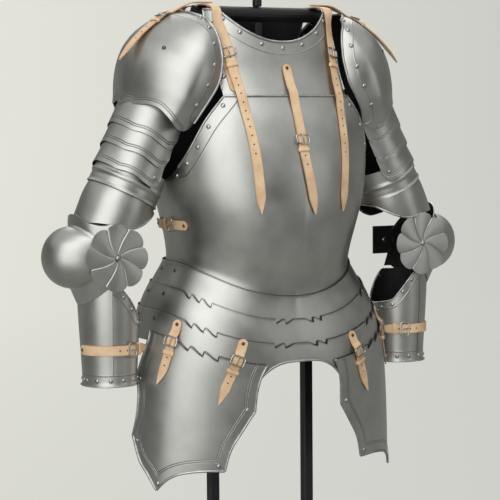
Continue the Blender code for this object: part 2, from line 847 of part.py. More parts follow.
def forearm(angle, z, lift=0.0):
    """A point round the forearm's upright axis: angle 0 is outward, 90 the front."""
    turn = math.radians(angle)
    radius = blend(VAMBRACE, z, "radius") + lift
    return Vector((VAMBRACE_X + radius * math.cos(turn), ELBOW.y - radius * math.sin(turn), z))


def vambrace(side, sign, steel):
    rows = [0.0, 0.045, 0.3, 0.65, 1.0]

    def outer(angle, v):
        return mirrored(forearm(angle, CUFF_Z + (VAMBRACE_TOP - CUFF_Z) * v), sign)

    def inner(angle, v):
        top = straight(INNER_TOP, abs((angle + 180) % 360 - 180), "along")
        return mirrored(forearm(angle, CUFF_Z + (top - CUFF_Z) * v, -LAYER), sign)

    core = mirrored(Vector((VAMBRACE_X, ELBOW.y, 0.9)), sign)
    step = VAMBRACE_SEAM / 6
    plate(f"vambrace_outer_{side}", outer, both_ways(steps(6, 0, VAMBRACE_SEAM)), rows, core, steel)
    angles = steps(18, VAMBRACE_SEAM - step, 360 - VAMBRACE_SEAM + step)
    plate(f"vambrace_inner_{side}", inner, angles, rows, core, steel)


# Straps: every mark says how far the leather's underside stands off what it lies on

def outward(angle, z):
    return (torso(angle, z, 0.01) - torso(angle, z)).normalized()


def on_skin(point, out, under, half, thick):
    return point + out * (under + thick / 2), out, half, thick


def body_marks(route, sign=1):
    marks = []
    for stop in route:
        angle = angle_at(sign * stop.x, stop.height)
        out = outward(angle, stop.height)
        marks.append(on_skin(torso(angle, stop.height), out, stop.under, stop.width, stop.thick))
    return marks


def chest_straps(leather):
    on, over = STRAP_GAP, STRAP_GAP + LIP + 0.0006
    bar_top = BAR_Z + BAR_RADIUS + SEAM_GAP
    down_back = ((1.395, 140.0, on), (1.425, 137.0, on), (1.444, 135.0, over))
    over_bar = (
        Vector((0.1045, 0.0990, 1.4530)),
        Vector((0.1050, 0.0910, 1.4560)),
        Vector((0.1060, 0.0780, bar_top + 0.001)),
        Vector((0.1075, 0.0500, bar_top)),
        Vector((0.1080, STAND_Y, bar_top)),
        Vector((0.1080, -0.0060, bar_top - 0.0006)),
        Vector((0.1075, -0.0290, 1.4480)),
    )
    down_front = (
        Route(1.425, 0.1055, on, *PLAIN),
        Route(1.396, 0.1000, on, *PLAIN),
        Route(1.381, 0.0982, on, *PLAIN),
        Route(1.379, 0.0980, on, *BUCKLE),
        Route(1.363, 0.0965, on, *BUCKLE),
        Route(1.361, 0.0963, on, *PLAIN),
        Route(1.352, 0.0958, on, *KEEPER),
        Route(1.346, 0.0954, on, *KEEPER),
        Route(1.344, 0.0952, on, *PLAIN),
        Route(1.316, 0.0930, over, *PLAIN),
        Route(1.297, 0.0918, over, *PLAIN),
        Route(1.282, 0.0908, on, *PLAIN),
        Route(1.250, 0.0880, on, *PLAIN),
        Route(1.215, 0.0852, on, *PLAIN),
        Route(1.180, 0.0822, on, *PLAIN),
        Route(1.142, 0.0790, on, *PLAIN),
        Route(1.113, 0.0765, on, *TIP),
    )
    for side, sign in (("L", 1), ("R", -1)):
        marks = []
        for z, angle, under in down_back:
            marks.append(on_skin(torso(sign * angle, z), outward(sign * angle, z), under, *PLAIN))
        for point in over_bar:
            lean = Vector((0, point.y - STAND_Y, 0.05)).normalized()
            marks.append(on_skin(mirrored(point, sign), lean, 0, *PLAIN))
        ribbon(f"chest_strap_{side}", marks + body_marks(down_front, sign), leather)


def centre_strap(leather):
    on, over = STRAP_GAP, STRAP_GAP + LIP + 0.0006
    below = on - LAYER
    route = (
        Route(1.352, 0.0, below, 0.0040, STRAP_THICK),
        Route(1.347, 0.0, below, *PLAIN),
        Route(1.320, 0.0, on, *PLAIN),
        Route(1.311, 0.0, over, *PLAIN),
        Route(1.296, 0.0, over, *PLAIN),
        Route(1.280, 0.0, on, *PLAIN),
        Route(1.255, 0.0, on, *PLAIN),
        Route(1.232, 0.0, on, *PLAIN),
        Route(1.230, 0.0, on, *BUCKLE),
        Route(1.216, 0.0, on, *BUCKLE),
        Route(1.214, 0.0, on, *PLAIN),
        Route(1.211, 0.0005, on, *KEEPER),
        Route(1.206, 0.0010, on, *KEEPER),
        Route(1.204, 0.0010, on, *PLAIN),
        Route(1.175, 0.0050, on + 0.001, *PLAIN),
        Route(1.138, 0.0110, on + 0.001, *PLAIN),
        Route(1.110, 0.0155, on + 0.001, *TIP),
    )
    ribbon("centre_strap", body_marks(route), leather)


def side_straps(leather):
    z = 1.092
    stops = (
        (72.0, 0.0040, STRAP_THICK),
        (73.5, *PLAIN),
        (78.0, *PLAIN),
        (84.0, *PLAIN),
        (85.0, *BUCKLE),
        (89.5, *BUCKLE),
        (90.5, *PLAIN),
        (97.0, *PLAIN),
        (104.0, *PLAIN),
        (110.0, 0.0040, STRAP_THICK),
    )
    for side, sign in (("L", 1), ("R", -1)):
        marks = []
        for angle, half, thick in stops:
            point, out = torso(sign * angle, z), outward(sign * angle, z)
            marks.append(on_skin(point, out, STRAP_GAP + SEAM_GAP, half, thick))
        ribbon(f"side_strap_{side}", marks, leather)


def tasset_straps(leather):
    on_lame = LAYER * 3 + SEAM_GAP + STRAP_GAP
    on_tasset = on_lame + LAYER + TASSET_GAP - SEAM_GAP
    over_edge = on_tasset + LIP + 0.0006
    shape = (
        (0.000, on_lame - 0.0004, 0.0040, STRAP_THICK),
        (0.005, on_lame - 0.0004, *PLAIN),
        (0.020, on_lame + 0.0008, *PLAIN),
        (0.025, over_edge, *PLAIN),
        (0.0255, over_edge, *BUCKLE),
        (0.040, over_edge, *BUCKLE),
        (0.041, over_edge, *PLAIN),
        (0.048, on_tasset, *KEEPER),
        (0.053, on_tasset, *KEEPER),
        (0.054, on_tasset, *PLAIN),
        (0.080, on_tasset, *PLAIN),
        (0.104, on_tasset, *TIP),
    )
    for name, top_x, tip_x, top_z in (("outer", 0.184, 0.213, 0.934), ("inner", 0.100, 0.140, 0.904)):
        for side, sign in (("L", 1), ("R", -1)):
            route = []
            for down, under, half, thick in shape:
                x = top_x + (tip_x - top_x) * down / shape[-1][0]
                route.append(Route(top_z - down, x, under, half, thick))
            ribbon(f"tasset_strap_{name}_{side}", body_marks(route, sign), leather)


def pauldron_straps(leather):
    on = STRAP_GAP + 0.0006
    stops = (
        (0.0890, on, *PLAIN),
        (0.0772, on, *PLAIN),
        (0.0762, on, *BUCKLE),
        (0.0650, on, *BUCKLE),
        (0.0640, on, *PLAIN),
        (0.0590, on, *KEEPER),
        (0.0545, on, *KEEPER),
        (0.0535, on, *PLAIN),
        (0.0370, on + 0.002, *PLAIN),
        (0.0150, on + 0.006, *PLAIN),
        (-0.0070, on + 0.013, *PLAIN),
        (-0.0230, on + 0.020, *TIP),
    )
    inboard = (
        Vector((0.0990, 0.0060, 1.4588)),
        Vector((0.1180, 0.0065, 1.4588)),
        Vector((0.1340, 0.0080, 1.4575)),
        Vector((0.1480, 0.0095, 1.4525)),
    )
    for side, sign in (("L", 1), ("R", -1)):
        marks = []
        for point in inboard:
            marks.append((mirrored(point, sign), Vector((0, 0, 1)), *PLAIN))
        for along, under, half, thick in stops:
            point, above = pauldron_point(0.10, along), pauldron_point(0.10, along, 0.01)
            out = mirrored((above - point).normalized(), sign)
            marks.append(on_skin(mirrored(point, sign), out, under, half, thick))
        ribbon(f"pauldron_strap_{side}", marks, leather)


def vambrace_straps(leather):
    z = 0.894
    on = STRAP_GAP + 0.0006
    stops = (
        (-10.0, on, 0.0040, STRAP_THICK),
        (-4.0, on, *PLAIN),
        (14.0, on, *PLAIN),
        (32.0, on, *PLAIN),
        (50.0, on, *PLAIN),
        (66.0, on, *PLAIN),
        (82.0, on, *PLAIN),
        (94.0, on, *PLAIN),
        (96.0, on, *BUCKLE),
        (112.0, on, *BUCKLE),
        (114.0, on, *PLAIN),
        (121.0, on, *KEEPER),
        (127.0, on, *KEEPER),
        (129.0, on, *PLAIN),
        (142.0, on + 0.002, *PLAIN),
        (160.0, on + 0.006, *TIP),
    )
    for side, sign in (("L", 1), ("R", -1)):
        marks = []
        for angle, under, half, thick in stops:
            point = mirrored(forearm(angle, z), sign)
            out = (point - mirrored(Vector((VAMBRACE_X, ELBOW.y, z)), sign)).normalized()
            marks.append(on_skin(point, out, under, half, thick))
        ribbon(f"vambrace_strap_{side}", marks, leather)


# Stand

def upright(name, x, under, high, half, material):
    """A square bar that stands a seam's gap above what is under it."""
    low = under + SEAM_GAP
    block(name, (2 * half, 2 * half, high - low), (x, STAND_Y, (low + high) / 2), material)


def stand(black):
    thick = BASE_SIZE[2]
    block("stand_base", BASE_SIZE, (0, 0, thick / 2), black)
    top = CROSSBAR_Z + CROSSBAR_HALF
    for side, sign in (("L", 1), ("R", -1)):
        high = CROSSBAR_Z - CROSSBAR_HALF - SEAM_GAP
        upright(f"stand_leg_{side}", sign * LEG_X, thick, high, LEG_HALF, black)
    length = 2 * (LEG_X + 0.02)
    size = (length, 2 * CROSSBAR_HALF, 2 * CROSSBAR_HALF)
    block("stand_crossbar", size, (0, STAND_Y, CROSSBAR_Z), black)
    upright("stand_post", 0, top, BAR_Z - BAR_RADIUS - SEAM_GAP, POST_HALF, black)
    left, right = Vector((-BAR_HALF_LENGTH, STAND_Y, BAR_Z)), Vector((BAR_HALF_LENGTH, STAND_Y, BAR_Z))
    rod("stand_shoulder_bar", left, right, BAR_RADIUS, black)
    upright("stand_finial", 0, BAR_Z + BAR_RADIUS, POST_TOP, POST_HALF, black)


def main():
    clear_scene()
    steel = finish("plate_steel", (0.56, 0.57, 0.56), 0.32, 1.0)
    leather = finish("strap_leather", (0.83, 0.62, 0.43), 0.6, 0.0)
    black = finish("stand_black", (0.012, 0.012, 0.013), 0.45, 0.0)
    breast_lower(steel)
    breast_upper(steel)
    backplate(steel)
    fauld(steel)
    culet(steel)
    tassets(steel)
    for side, sign in (("L", 1), ("R", -1)):
        for make in (
            pauldron,
            arm_lames,
            turner_ring,
            upper_cannon,
            couter,
            elbow_lames,
            rosette,
            elbow_ear,
            vambrace,
        ):
            make(side, sign, steel)
    chest_straps(leather)
    centre_strap(leather)
    side_straps(leather)
    tasset_straps(leather)
    pauldron_straps(leather)
    vambrace_straps(leather)
    stand(black)


main()
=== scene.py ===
# Half suit of plate armour on its stand. Metres, +Z up, the suit faces -Y and +X is its left.
import bisect
import functools
import math

import bmesh
import bpy
from mathutils import Matrix, Vector
from mathutils.kdtree import KDTree


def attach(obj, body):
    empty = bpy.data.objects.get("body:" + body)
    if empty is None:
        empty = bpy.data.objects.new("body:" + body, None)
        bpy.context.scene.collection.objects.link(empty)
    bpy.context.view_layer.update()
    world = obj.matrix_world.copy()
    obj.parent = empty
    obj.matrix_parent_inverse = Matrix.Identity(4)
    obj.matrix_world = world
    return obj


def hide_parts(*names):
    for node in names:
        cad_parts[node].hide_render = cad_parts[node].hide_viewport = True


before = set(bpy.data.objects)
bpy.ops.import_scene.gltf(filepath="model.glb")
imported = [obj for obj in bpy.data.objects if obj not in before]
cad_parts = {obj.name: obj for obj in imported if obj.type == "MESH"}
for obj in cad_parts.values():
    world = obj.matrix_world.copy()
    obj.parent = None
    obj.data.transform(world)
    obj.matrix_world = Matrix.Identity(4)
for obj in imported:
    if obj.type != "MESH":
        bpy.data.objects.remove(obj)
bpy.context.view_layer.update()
print("frame loaded")

# the photograph's viewpoint: metres, degrees and millimetres
camera = {
    "place": (-1.509, -2.636, 1.268),
    "yaw": 29.3,
    "down": 4.23,
    "roll": -0.44,
    "lens": 128.9,
    "sensor": 36,
}

def placeCamera(c):
    yaw, down, roll = (math.radians(c[k]) for k in ("yaw", "down", "roll"))
    ahead = Vector((math.sin(yaw) * math.cos(down), math.cos(yaw) * math.cos(down), -math.sin(down)))
    right = Vector((math.cos(yaw), -math.sin(yaw), 0))
    up = right.cross(ahead)
    turnedRight = right * math.cos(roll) + up * math.sin(roll)
    turnedUp = up * math.cos(roll) - right * math.sin(roll)
    data = bpy.data.cameras.new("photoCamera")
    data.lens = c["lens"]
    data.sensor_width = c["sensor"]
    obj = bpy.data.objects.new("photoCamera", data)
    bpy.context.scene.collection.objects.link(obj)
    axes = Matrix((turnedRight, turnedUp, -ahead)).transposed()
    obj.matrix_world = Matrix.Translation(c["place"]) @ axes.to_4x4()
    bpy.context.scene.camera = obj


placeCamera(camera)

# finishes
steelFinish = {
    "light": (0.56, 0.56, 0.53),
    "dark": (0.44, 0.44, 0.415),
    # near-black colour of the painted shade in the struck lines
    "paintedLineShade": (0.10, 0.10, 0.10),
    "roughness": (0.36, 0.47),
    "lineDepth": 0.0005,
    "hemPair": 3.4,  # millimetres between the two struck lines of a hem
}
leatherFinish = {
    "light": (0.86, 0.63, 0.40),
    "dark": (0.70, 0.46, 0.27),
    "edge": (0.47, 0.26, 0.13),
    "roughness": (0.50, 0.68),
    "crease": 0.84,  # share of the half width where the line along the edge runs
    "grainDepth": 0.00025,
}
plainFinishes = {
    # dark inside of the plates; it also paints shade on the cut rims of the lames and tassets
    "blackenedInside": {
        "light": (0.035, 0.034, 0.033), "dark": (0.012, 0.012, 0.013), "roughness": (0.55, 0.8),
        "scales": (26.0, 300.0), "tone": (0.0, 1.0), "reliefBy": "Clouds", "relief": 0.0003, "metallic": 0.6,
    },
    "rivetSteel": {"light": (0.52, 0.52, 0.50), "dark": (0.34, 0.34, 0.33), "roughness": (0.22, 0.34)},
    "filedEdgeSteel": {"light": (0.62, 0.62, 0.61), "dark": (0.38, 0.38, 0.38), "roughness": (0.26, 0.38)},
    "buckleSteel": {"light": (0.60, 0.58, 0.54), "dark": (0.36, 0.34, 0.31), "roughness": (0.20, 0.36)},
    "darkRivet": {"light": (0.20, 0.16, 0.12), "dark": (0.09, 0.07, 0.05), "roughness": (0.30, 0.42)},
    "blackPaint": {
        "light": (0.010, 0.010, 0.011), "dark": (0.004, 0.004, 0.0045), "roughness": (0.42, 0.56),
        "scales": (35.0, 500.0), "tone": (0.0, 1.0), "roughBy": "Clouds", "relief": 0.00004, "metallic": 0.0,
    },
}


def newMaterial(name):
    material = bpy.data.materials.new(name)
    material.use_nodes = True
    return material, material.node_tree, material.node_tree.nodes["Principled BSDF"]


def addNode(tree, kind, **values):
    node = tree.nodes.new(kind)
    for key, value in values.items():
        if hasattr(node, key):
            setattr(node, key, value)
        else:
            node.inputs[key].default_value = value
    return node


def rangeNode(tree, source, low, high, toLow, toHigh, smooth=False):
    node = tree.nodes.new("ShaderNodeMapRange")
    if smooth:
        node.interpolation_type = "SMOOTHSTEP"
    for socket, value in zip(("From Min", "From Max", "To Min", "To Max"), (low, high, toLow, toHigh)):
        node.inputs[socket].default_value = value
    tree.links.new(source, node.inputs["Value"])
    return node.outputs["Result"]


def mathNode(tree, operation, first, second=None):
    node = tree.nodes.new("ShaderNodeMath")
    node.operation = operation
    for socket, value in zip(node.inputs, (first, second)):
        if isinstance(value, (int, float)):
            socket.default_value = value
        elif value is not None:
            tree.links.new(value, socket)
    return node.outputs[0]


def mixColours(tree, share, first, second):
    node = tree.nodes.new("ShaderNodeMix")
    node.data_type = "RGBA"
    tree.links.new(share, node.inputs[0])
    for socket, value in ((node.inputs[6], first), (node.inputs[7], second)):
        if isinstance(value, tuple):
            socket.default_value = (*value, 1)
        else:
            tree.links.new(value, socket)
    return node.outputs[2]


def objectPlace(tree):
    return tree.nodes.new("ShaderNodeTexCoord").outputs["Object"]


def attribute(tree, name):
    return addNode(tree, "ShaderNodeAttribute", attribute_name=name).outputs["Fac"]


def makeWearGroup():
    # cloudy handling marks, fine hairlines and slow waves, used by every metal and leather
    group = bpy.data.node_groups.new("handledSurface", "ShaderNodeTree")
    for name, kind in (("Vector", "Vector"), ("Cloud Scale", "Float"), ("Hair Scale", "Float")):
        group.interface.new_socket(name=name, in_out="INPUT", socket_type=f"NodeSocket{kind}")
    for name in ("Clouds", "Hairs", "Waves"):
        group.interface.new_socket(name=name, in_out="OUTPUT", socket_type="NodeSocketFloat")
    source, result = group.nodes.new("NodeGroupInput"), group.nodes.new("NodeGroupOutput")
    stretch = addNode(group, "ShaderNodeMapping", Scale=(1.0, 1.0, 0.10))
    noises = {
        "Clouds": addNode(group, "ShaderNodeTexNoise", Detail=4.0, Roughness=0.55),
        "Hairs": addNode(group, "ShaderNodeTexNoise", Detail=2.0, Roughness=0.6),
        "Waves": addNode(group, "ShaderNodeTexNoise", Scale=13.0, Detail=1.0),
    }
    group.links.new(source.outputs["Vector"], stretch.inputs["Vector"])
    for name, noise in noises.items():
        place = stretch if name == "Hairs" else source
        group.links.new(place.outputs["Vector"], noise.inputs["Vector"])
        group.links.new(noise.outputs["Fac"], result.inputs[name])
    group.links.new(source.outputs["Cloud Scale"], noises["Clouds"].inputs["Scale"])
    group.links.new(source.outputs["Hair Scale"], noises["Hairs"].inputs["Scale"])
    return group


handledSurface = makeWearGroup()


def handled(tree, cloudScale, hairScale):
    group = tree.nodes.new("ShaderNodeGroup")
    group.node_tree = handledSurface
    group.inputs["Cloud Scale"].default_value = cloudScale
    group.inputs["Hair Scale"].default_value = hairScale
    tree.links.new(objectPlace(tree), group.inputs["Vector"])
    return group.outputs


def bump(tree, height, distance, shader):
    node = addNode(tree, "ShaderNodeBump", Strength=1.0, Distance=distance)
    tree.links.new(height, node.inputs["Height"])
    tree.links.new(node.outputs["Normal"], shader.inputs["Normal"])


def makePlateSteel(f):
    # satin plate; the attributes give the distance in millimetres from each struck line
    material, tree, shader = newMaterial("plateSteel")
    marks = handled(tree, 17.0, 620.0)
    band, hem = attribute(tree, "bandLine"), attribute(tree, "hemLines")
    fromBand = mathNode(tree, "ABSOLUTE", band)
    step = rangeNode(tree, band, -1.2, 0.6, 0.0, 0.75, True)
    ridge = rangeNode(tree, fromBand, 0.0, 1.5, 0.65, 0.0, True)
    scribed = rangeNode(tree, fromBand, 0.0, 0.9, 0.8, 0.0, True)
    hemPair = []
    for offset in (0.0, f["hemPair"]):
        fromLine = mathNode(tree, "ABSOLUTE", mathNode(tree, "SUBTRACT", hem, offset))
        hemPair.append(rangeNode(tree, fromLine, 0.0, 1.0, 1.0, 0.0, True))
    grooves = mathNode(tree, "MAXIMUM", *hemPair)
    lines = mathNode(tree, "SUBTRACT", mathNode(tree, "ADD", step, ridge), grooves)
    fine = mathNode(tree, "MULTIPLY", marks["Hairs"], 0.012)
    slow = mathNode(tree, "MULTIPLY", marks["Waves"], 0.9)
    bump(tree, mathNode(tree, "ADD", lines, mathNode(tree, "ADD", fine, slow)), f["lineDepth"], shader)
    colour = mixColours(tree, rangeNode(tree, marks["Clouds"], 0.3, 0.7, 0.0, 1.0), f["dark"], f["light"])
    # painted shade: the struck grooves and the band line are darkened towards the near-black colour
    paintedLineShade = rangeNode(tree, mathNode(tree, "MAXIMUM", grooves, scribed), 0.0, 1.0, 0.0, 0.75)
    tree.links.new(mixColours(tree, paintedLineShade, colour, f["paintedLineShade"]), shader.inputs["Base Color"])
    cloudy = mathNode(tree, "MULTIPLY", marks["Clouds"], 0.8)
    hairy = mathNode(tree, "MULTIPLY", marks["Hairs"], 0.3)
    spread = rangeNode(tree, mathNode(tree, "ADD", cloudy, hairy), 0.35, 0.75, *f["roughness"])
    tree.links.new(spread, shader.inputs["Roughness"])
    shader.inputs["Metallic"].default_value = 1.0
    return material


def makeFinish(name, light, dark, roughness, scales=(60.0, 900.0), tone=(0.3, 0.7), roughBy="Hairs",
               reliefBy="Hairs", relief=0.00001, metallic=1.0):
    material, tree, shader = newMaterial(name)
    marks = handled(tree, *scales)
    share = rangeNode(tree, marks["Clouds"], *tone, 0.0, 1.0)
    tree.links.new(mixColours(tree, share, dark, light), shader.inputs["Base Color"])
    tree.links.new(rangeNode(tree, marks[roughBy], 0.3, 0.7, *roughness), shader.inputs["Roughness"])
    bump(tree, marks[reliefBy], relief, shader)
    shader.inputs["Metallic"].default_value = metallic
    return material


def makeLeather(f):
    material, tree, shader = newMaterial("paleLeather")
    marks = handled(tree, 42.0, 1500.0)
    across = attribute(tree, "strapEdge")
    pores = addNode(tree, "ShaderNodeTexVoronoi", Scale=1500.0)
    tree.links.new(objectPlace(tree), pores.inputs["Vector"])
    tone = mixColours(tree, rangeNode(tree, marks["Clouds"], 0.32, 0.68, 0.0, 1.0), f["dark"], f["light"])
    edge = rangeNode(tree, across, 0.80, 1.0, 0.0, 0.55, True)
    tree.links.new(mixColours(tree, edge, tone, f["edge"]), shader.inputs["Base Color"])
    tree.links.new(rangeNode(tree, marks["Clouds"], 0.3, 0.7, *f["roughness"]), shader.inputs["Roughness"])
    poreDepth = mathNode(tree, "MULTIPLY", pores.outputs["Distance"], 0.25)
    grain = mathNode(tree, "ADD", poreDepth, mathNode(tree, "MULTIPLY", marks["Waves"], 4.0))
    fromCrease = mathNode(tree, "ABSOLUTE", mathNode(tree, "SUBTRACT", across, f["crease"]))
    crease = rangeNode(tree, fromCrease, 0.0, 0.07, -0.8, 0.0, True)
    bump(tree, mathNode(tree, "ADD", grain, crease), f["grainDepth"], shader)
    shader.inputs["Sheen Weight"].default_value = 0.08
    return material


plateSteel = makePlateSteel(steelFinish)
darkInsideAndRimShade, rivetSteel, ropeSteel, buckleSteel, darkRivet, blackPaint = (
    makeFinish(name, **values) for name, values in plainFinishes.items()
)
paleLeather = makeLeather(leatherFinish)
# painted shade: each punched hole is a near-black disc on the strap, standing for the shade in the hole
punchedHole, _, holeShader = newMaterial("punchedHole")
holeShader.inputs["Base Color"].default_value = (0.02, 0.012, 0.007, 1)
holeShader.inputs["Roughness"].default_value = 0.9
print("finishes made")

# curves that the plates follow, in metres
body = {
    "wall": 0.0015,
    "layer": 0.0022,
    "gap": 0.0003,
    "midY": 0.03,
    "waistZ": 0.974,
    "waistRise": 0.055,
    "riseFade": (1.05, 1.17),
    "flange": 0.012,
    "seamZ": 1.303,
    "seamOverlap": 0.014,
    "neckZ": 1.393,
    "neckRise": 0.054,
    "neckHalfWidth": 0.104,
    "shoulderZ": 1.45,
    "sections": (  # height, half width, front depth, back depth, squareness, ridge
        (0.600, 0.234, 0.120, 0.150, 2.5, 0.000),
        (0.700, 0.230, 0.127, 0.150, 2.5, 0.000),
        (0.800, 0.222, 0.134, 0.150, 2.5, 0.000),
        (0.862, 0.208, 0.142, 0.149, 2.5, 0.000),
        (0.905, 0.195, 0.141, 0.146, 2.5, 0.001),
        (0.940, 0.177, 0.136, 0.141, 2.4, 0.002),
        (0.974, 0.159, 0.130, 0.133, 2.3, 0.004),
        (0.995, 0.159, 0.133, 0.132, 2.3, 0.005),
        (1.051, 0.167, 0.152, 0.135, 2.3, 0.005),
        (1.122, 0.178, 0.165, 0.138, 2.3, 0.003),
        (1.200, 0.185, 0.161, 0.140, 2.4, 0.000),
        (1.260, 0.178, 0.143, 0.140, 2.6, 0.000),
        (1.303, 0.165, 0.124, 0.130, 2.8, 0.000),
        (1.342, 0.150, 0.108, 0.118, 2.8, 0.000),
        (1.380, 0.140, 0.097, 0.106, 2.8, 0.000),
        (1.420, 0.132, 0.085, 0.093, 2.8, 0.000),
        (1.460, 0.127, 0.070, 0.082, 2.8, 0.000),
    ),
}


def trackOf(rows, column=1, smooth=True):
    # reads a column of a table at any key, by a smooth or a straight run through its rows
    keys = [row[0] for row in rows]
    values = [row[column] for row in rows]
    last = len(rows) - 1
    slopes = []
    for k in range(len(rows)):
        before, after = max(k - 1, 0), min(k + 1, last)
        slopes.append((values[after] - values[before]) / (keys[after] - keys[before]))

    def read(key):
        if key <= keys[0]:
            return values[0]
        if key >= keys[-1]:
            return values[-1]
        i = bisect.bisect_right(keys, key) - 1
        span = keys[i + 1] - keys[i]
        t = (key - keys[i]) / span
        if not smooth:
            return values[i] * (1 - t) + values[i + 1] * t
        return (
            (2 * t**3 - 3 * t**2 + 1) * values[i]
            + (t**3 - 2 * t**2 + t) * span * slopes[i]
            + (3 * t**2 - 2 * t**3) * values[i + 1]
            + (t**3 - t**2) * span * slopes[i + 1]
        )

    return read


halfWidthAt, frontAt, backAt, squareAt, ridgeAt = (trackOf(body["sections"], k) for k in range(1, 6))


def power(value, exponent):
    return math.copysign(abs(value) ** exponent, value)


def steps(count, low=0.0, high=1.0):
    return [low + (high - low) * k / count for k in range(count + 1)]


def rise(angle):
    folded = abs((angle + 180) % 360 - 180)
    return body["waistRise"] * math.sin(math.radians(min(folded, 90))) ** 2


def tableHeight(angle, z):
    low, high = body["riseFade"]
    t = min(1.0, max(0.0, (z - low) / (high - low)))
    return z - rise(angle) * (1 - t * t * (3 - 2 * t))


def torsoSkin(angle, z):
    height = tableHeight(angle, z)
    turn = math.radians(angle)
    exponent = 2 / squareAt(height)
    x = halfWidthAt(height) * power(math.sin(turn), exponent)
    forward = math.cos(turn)
    if forward > 0:
        crease = ridgeAt(height) * max(0.0, 1 - abs(x) / 0.06) ** 2
        return Vector((x, body["midY"] - frontAt(height) * power(forward, exponent) - crease, z))
    return Vector((x, body["midY"] - backAt(height) * power(forward, exponent), z))


def outward(angle, z):
    across = torsoSkin(angle + 0.5, z) - torsoSkin(angle - 0.5, z)
    up = torsoSkin(angle, z + 0.001) - torsoSkin(angle, z - 0.001)
    return across.cross(up).normalized()


def torso(angle, z, lift=0.0):
    # angle 0 is the front, 90 the suit's left side, 180 the back
    point = torsoSkin(angle, z)
    return point + lift * outward(angle, z) if lift else point


def angleAt(x, z):
    angle = 45.0
    for _ in range(8):
        height = tableHeight(angle, z)
        share = min(1.0, abs(x) / halfWidthAt(height))
        angle = math.degrees(math.asin(share ** (squareAt(height) / 2)))
    return math.copysign(angle, x)


arm = {
    "slope": math.radians(25.5),
    "foot": Vector((0.305, 0.02, 1.048)),
    "shoulder": 0.3235,
    "elbow": Vector((0.296, 0.02, 1.045)),
    "forearmX": 0.283,
}


def sleeve(angle, along, radius):
    # round the upper arm: angle 0 is outward, 90 the front, 180 towards the body
    turn = math.radians(angle)
    outwards = Vector((math.cos(arm["slope"]), 0, math.sin(arm["slope"])))
    upwards = Vector((-math.sin(arm["slope"]), 0, math.cos(arm["slope"])))
    away = outwards * math.cos(turn) + Vector((0, -1, 0)) * math.sin(turn)
    return arm["foot"] + upwards * along + away * radius


# making and placing
def linkMesh(name, bm, materials, sharp=38):
    mesh = bpy.data.meshes.new(name)
    bm.to_mesh(mesh)
    bm.free()
    for material in materials:
        mesh.materials.append(material)
    mesh.shade_smooth()
    mesh.set_sharp_from_angle(angle=math.radians(sharp))
    obj = bpy.data.objects.new(name, mesh)
    bpy.context.scene.collection.objects.link(obj)
    return obj


def bakeModifiers(obj, sharp=38):
    shape = obj.evaluated_get(bpy.context.evaluated_depsgraph_get())
    mesh = bpy.data.meshes.new_from_object(shape)
    old = obj.data
    obj.modifiers.clear()
    obj.data = mesh
    bpy.data.meshes.remove(old)
    mesh.name = obj.name
    mesh.shade_smooth()
    mesh.set_sharp_from_angle(angle=math.radians(sharp))
    return obj


def distances(bm, layerName, points, offset):
    layer = bm.verts.layers.float.get(layerName)
    tree = KDTree(len(points))
    for i, point in enumerate(points):
        tree.insert(point, i)
    tree.balance()
    for vert in bm.verts:
        found = tree.find(vert.co)[2] * 1000 - offset
        vert[layer] = min(vert[layer], found)


def bentSheet(name, surface, across, along, core, closed=False, wall=None, band=(), hem=(), paintedShadeRim=False):
    # a flat grid bent to surface(u, v); band and hem hold (points, millimetres that a struck line keeps)
    bm = bmesh.new()
    wide, high = len(across) - 1, len(along) - 1
    bmesh.ops.create_grid(bm, x_segments=wide, y_segments=high, size=0.5)
    for vert in bm.verts:
        u = across[round((vert.co.x + 0.5) * wide)]
        v = along[round((vert.co.y + 0.5) * high)]
        vert.co = surface(u, v)
    if closed:
        bmesh.ops.remove_doubles(bm, verts=bm.verts, dist=1e-6)
    bm.normal_update()
    facing = 0.0
    for face in bm.faces:
        facing += (face.calc_center_median() - core).dot(face.normal) * face.calc_area()
    if facing < 0:
        bmesh.ops.reverse_faces(bm, faces=bm.faces)
    for layerName, lines in (("bandLine", band), ("hemLines", hem)):
        layer = bm.verts.layers.float.new(layerName)
        for vert in bm.verts:
            vert[layer] = 999.0
        for points, offset in lines:
            distances(bm, layerName, points, offset)
    obj = linkMesh(name, bm, (plateSteel, darkInsideAndRimShade))
    thick = obj.modifiers.new("wall", "SOLIDIFY")
    thick.thickness = wall or body["wall"]
    thick.offset = -1
    thick.material_offset = 1
    # painted shade: with this set, the cut edges take the dark inside finish and show as dark lines along the
    # plate edges
    thick.material_offset_rim = 1 if paintedShadeRim else 0
    return bakeModifiers(obj)


def settle(obj, bodyName, slotName, *nodes):
    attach(obj, bodyName)
    if nodes:
        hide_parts(*nodes)
    return obj


def settlePair(obj, bodyName, slotName, *nodes):
    # obj is made for the left side; its twin is the mirror of it
    twin = bpy.data.objects.new(obj.name[:-1] + "R", obj.data.copy())
    bpy.context.scene.collection.objects.link(twin)
    twin.data.transform(Matrix.Scale(-1, 4, (1, 0, 0)))
    twin.data.flip_normals()
    for side, piece in (("L", obj), ("R", twin)):
        carrier = bodyName if bodyName == "suit_and_stand" else f"{bodyName}_{side}"
        settle(piece, carrier, slotName, *[f"{node}_{side}" for node in nodes])


def edgeOf(surface, pairs):
    return [surface(u, v) for u, v in pairs]


def travelled(line):
    # distance from the start to each station of a line of (point, out)
    reach = [0.0]
    for (a, _), (b, _) in zip(line, line[1:]):
        reach.append(reach[-1] + (b - a).length)
    return reach


def resample(line, step):
    # even stations along a line
    reach = travelled(line)
    count = max(2, round(reach[-1] / step))
    result, i = [], 0
    for k in range(count + 1):
        wanted = reach[-1] * k / count
        while i < len(line) - 2 and reach[i + 1] < wanted:
            i += 1
        span = reach[i + 1] - reach[i] or 1e-9
        t = min(1.0, (wanted - reach[i]) / span)
        point = line[i][0].lerp(line[i + 1][0], t)
        result.append((point, line[i][1].lerp(line[i + 1][1], t).normalized()))
    return result


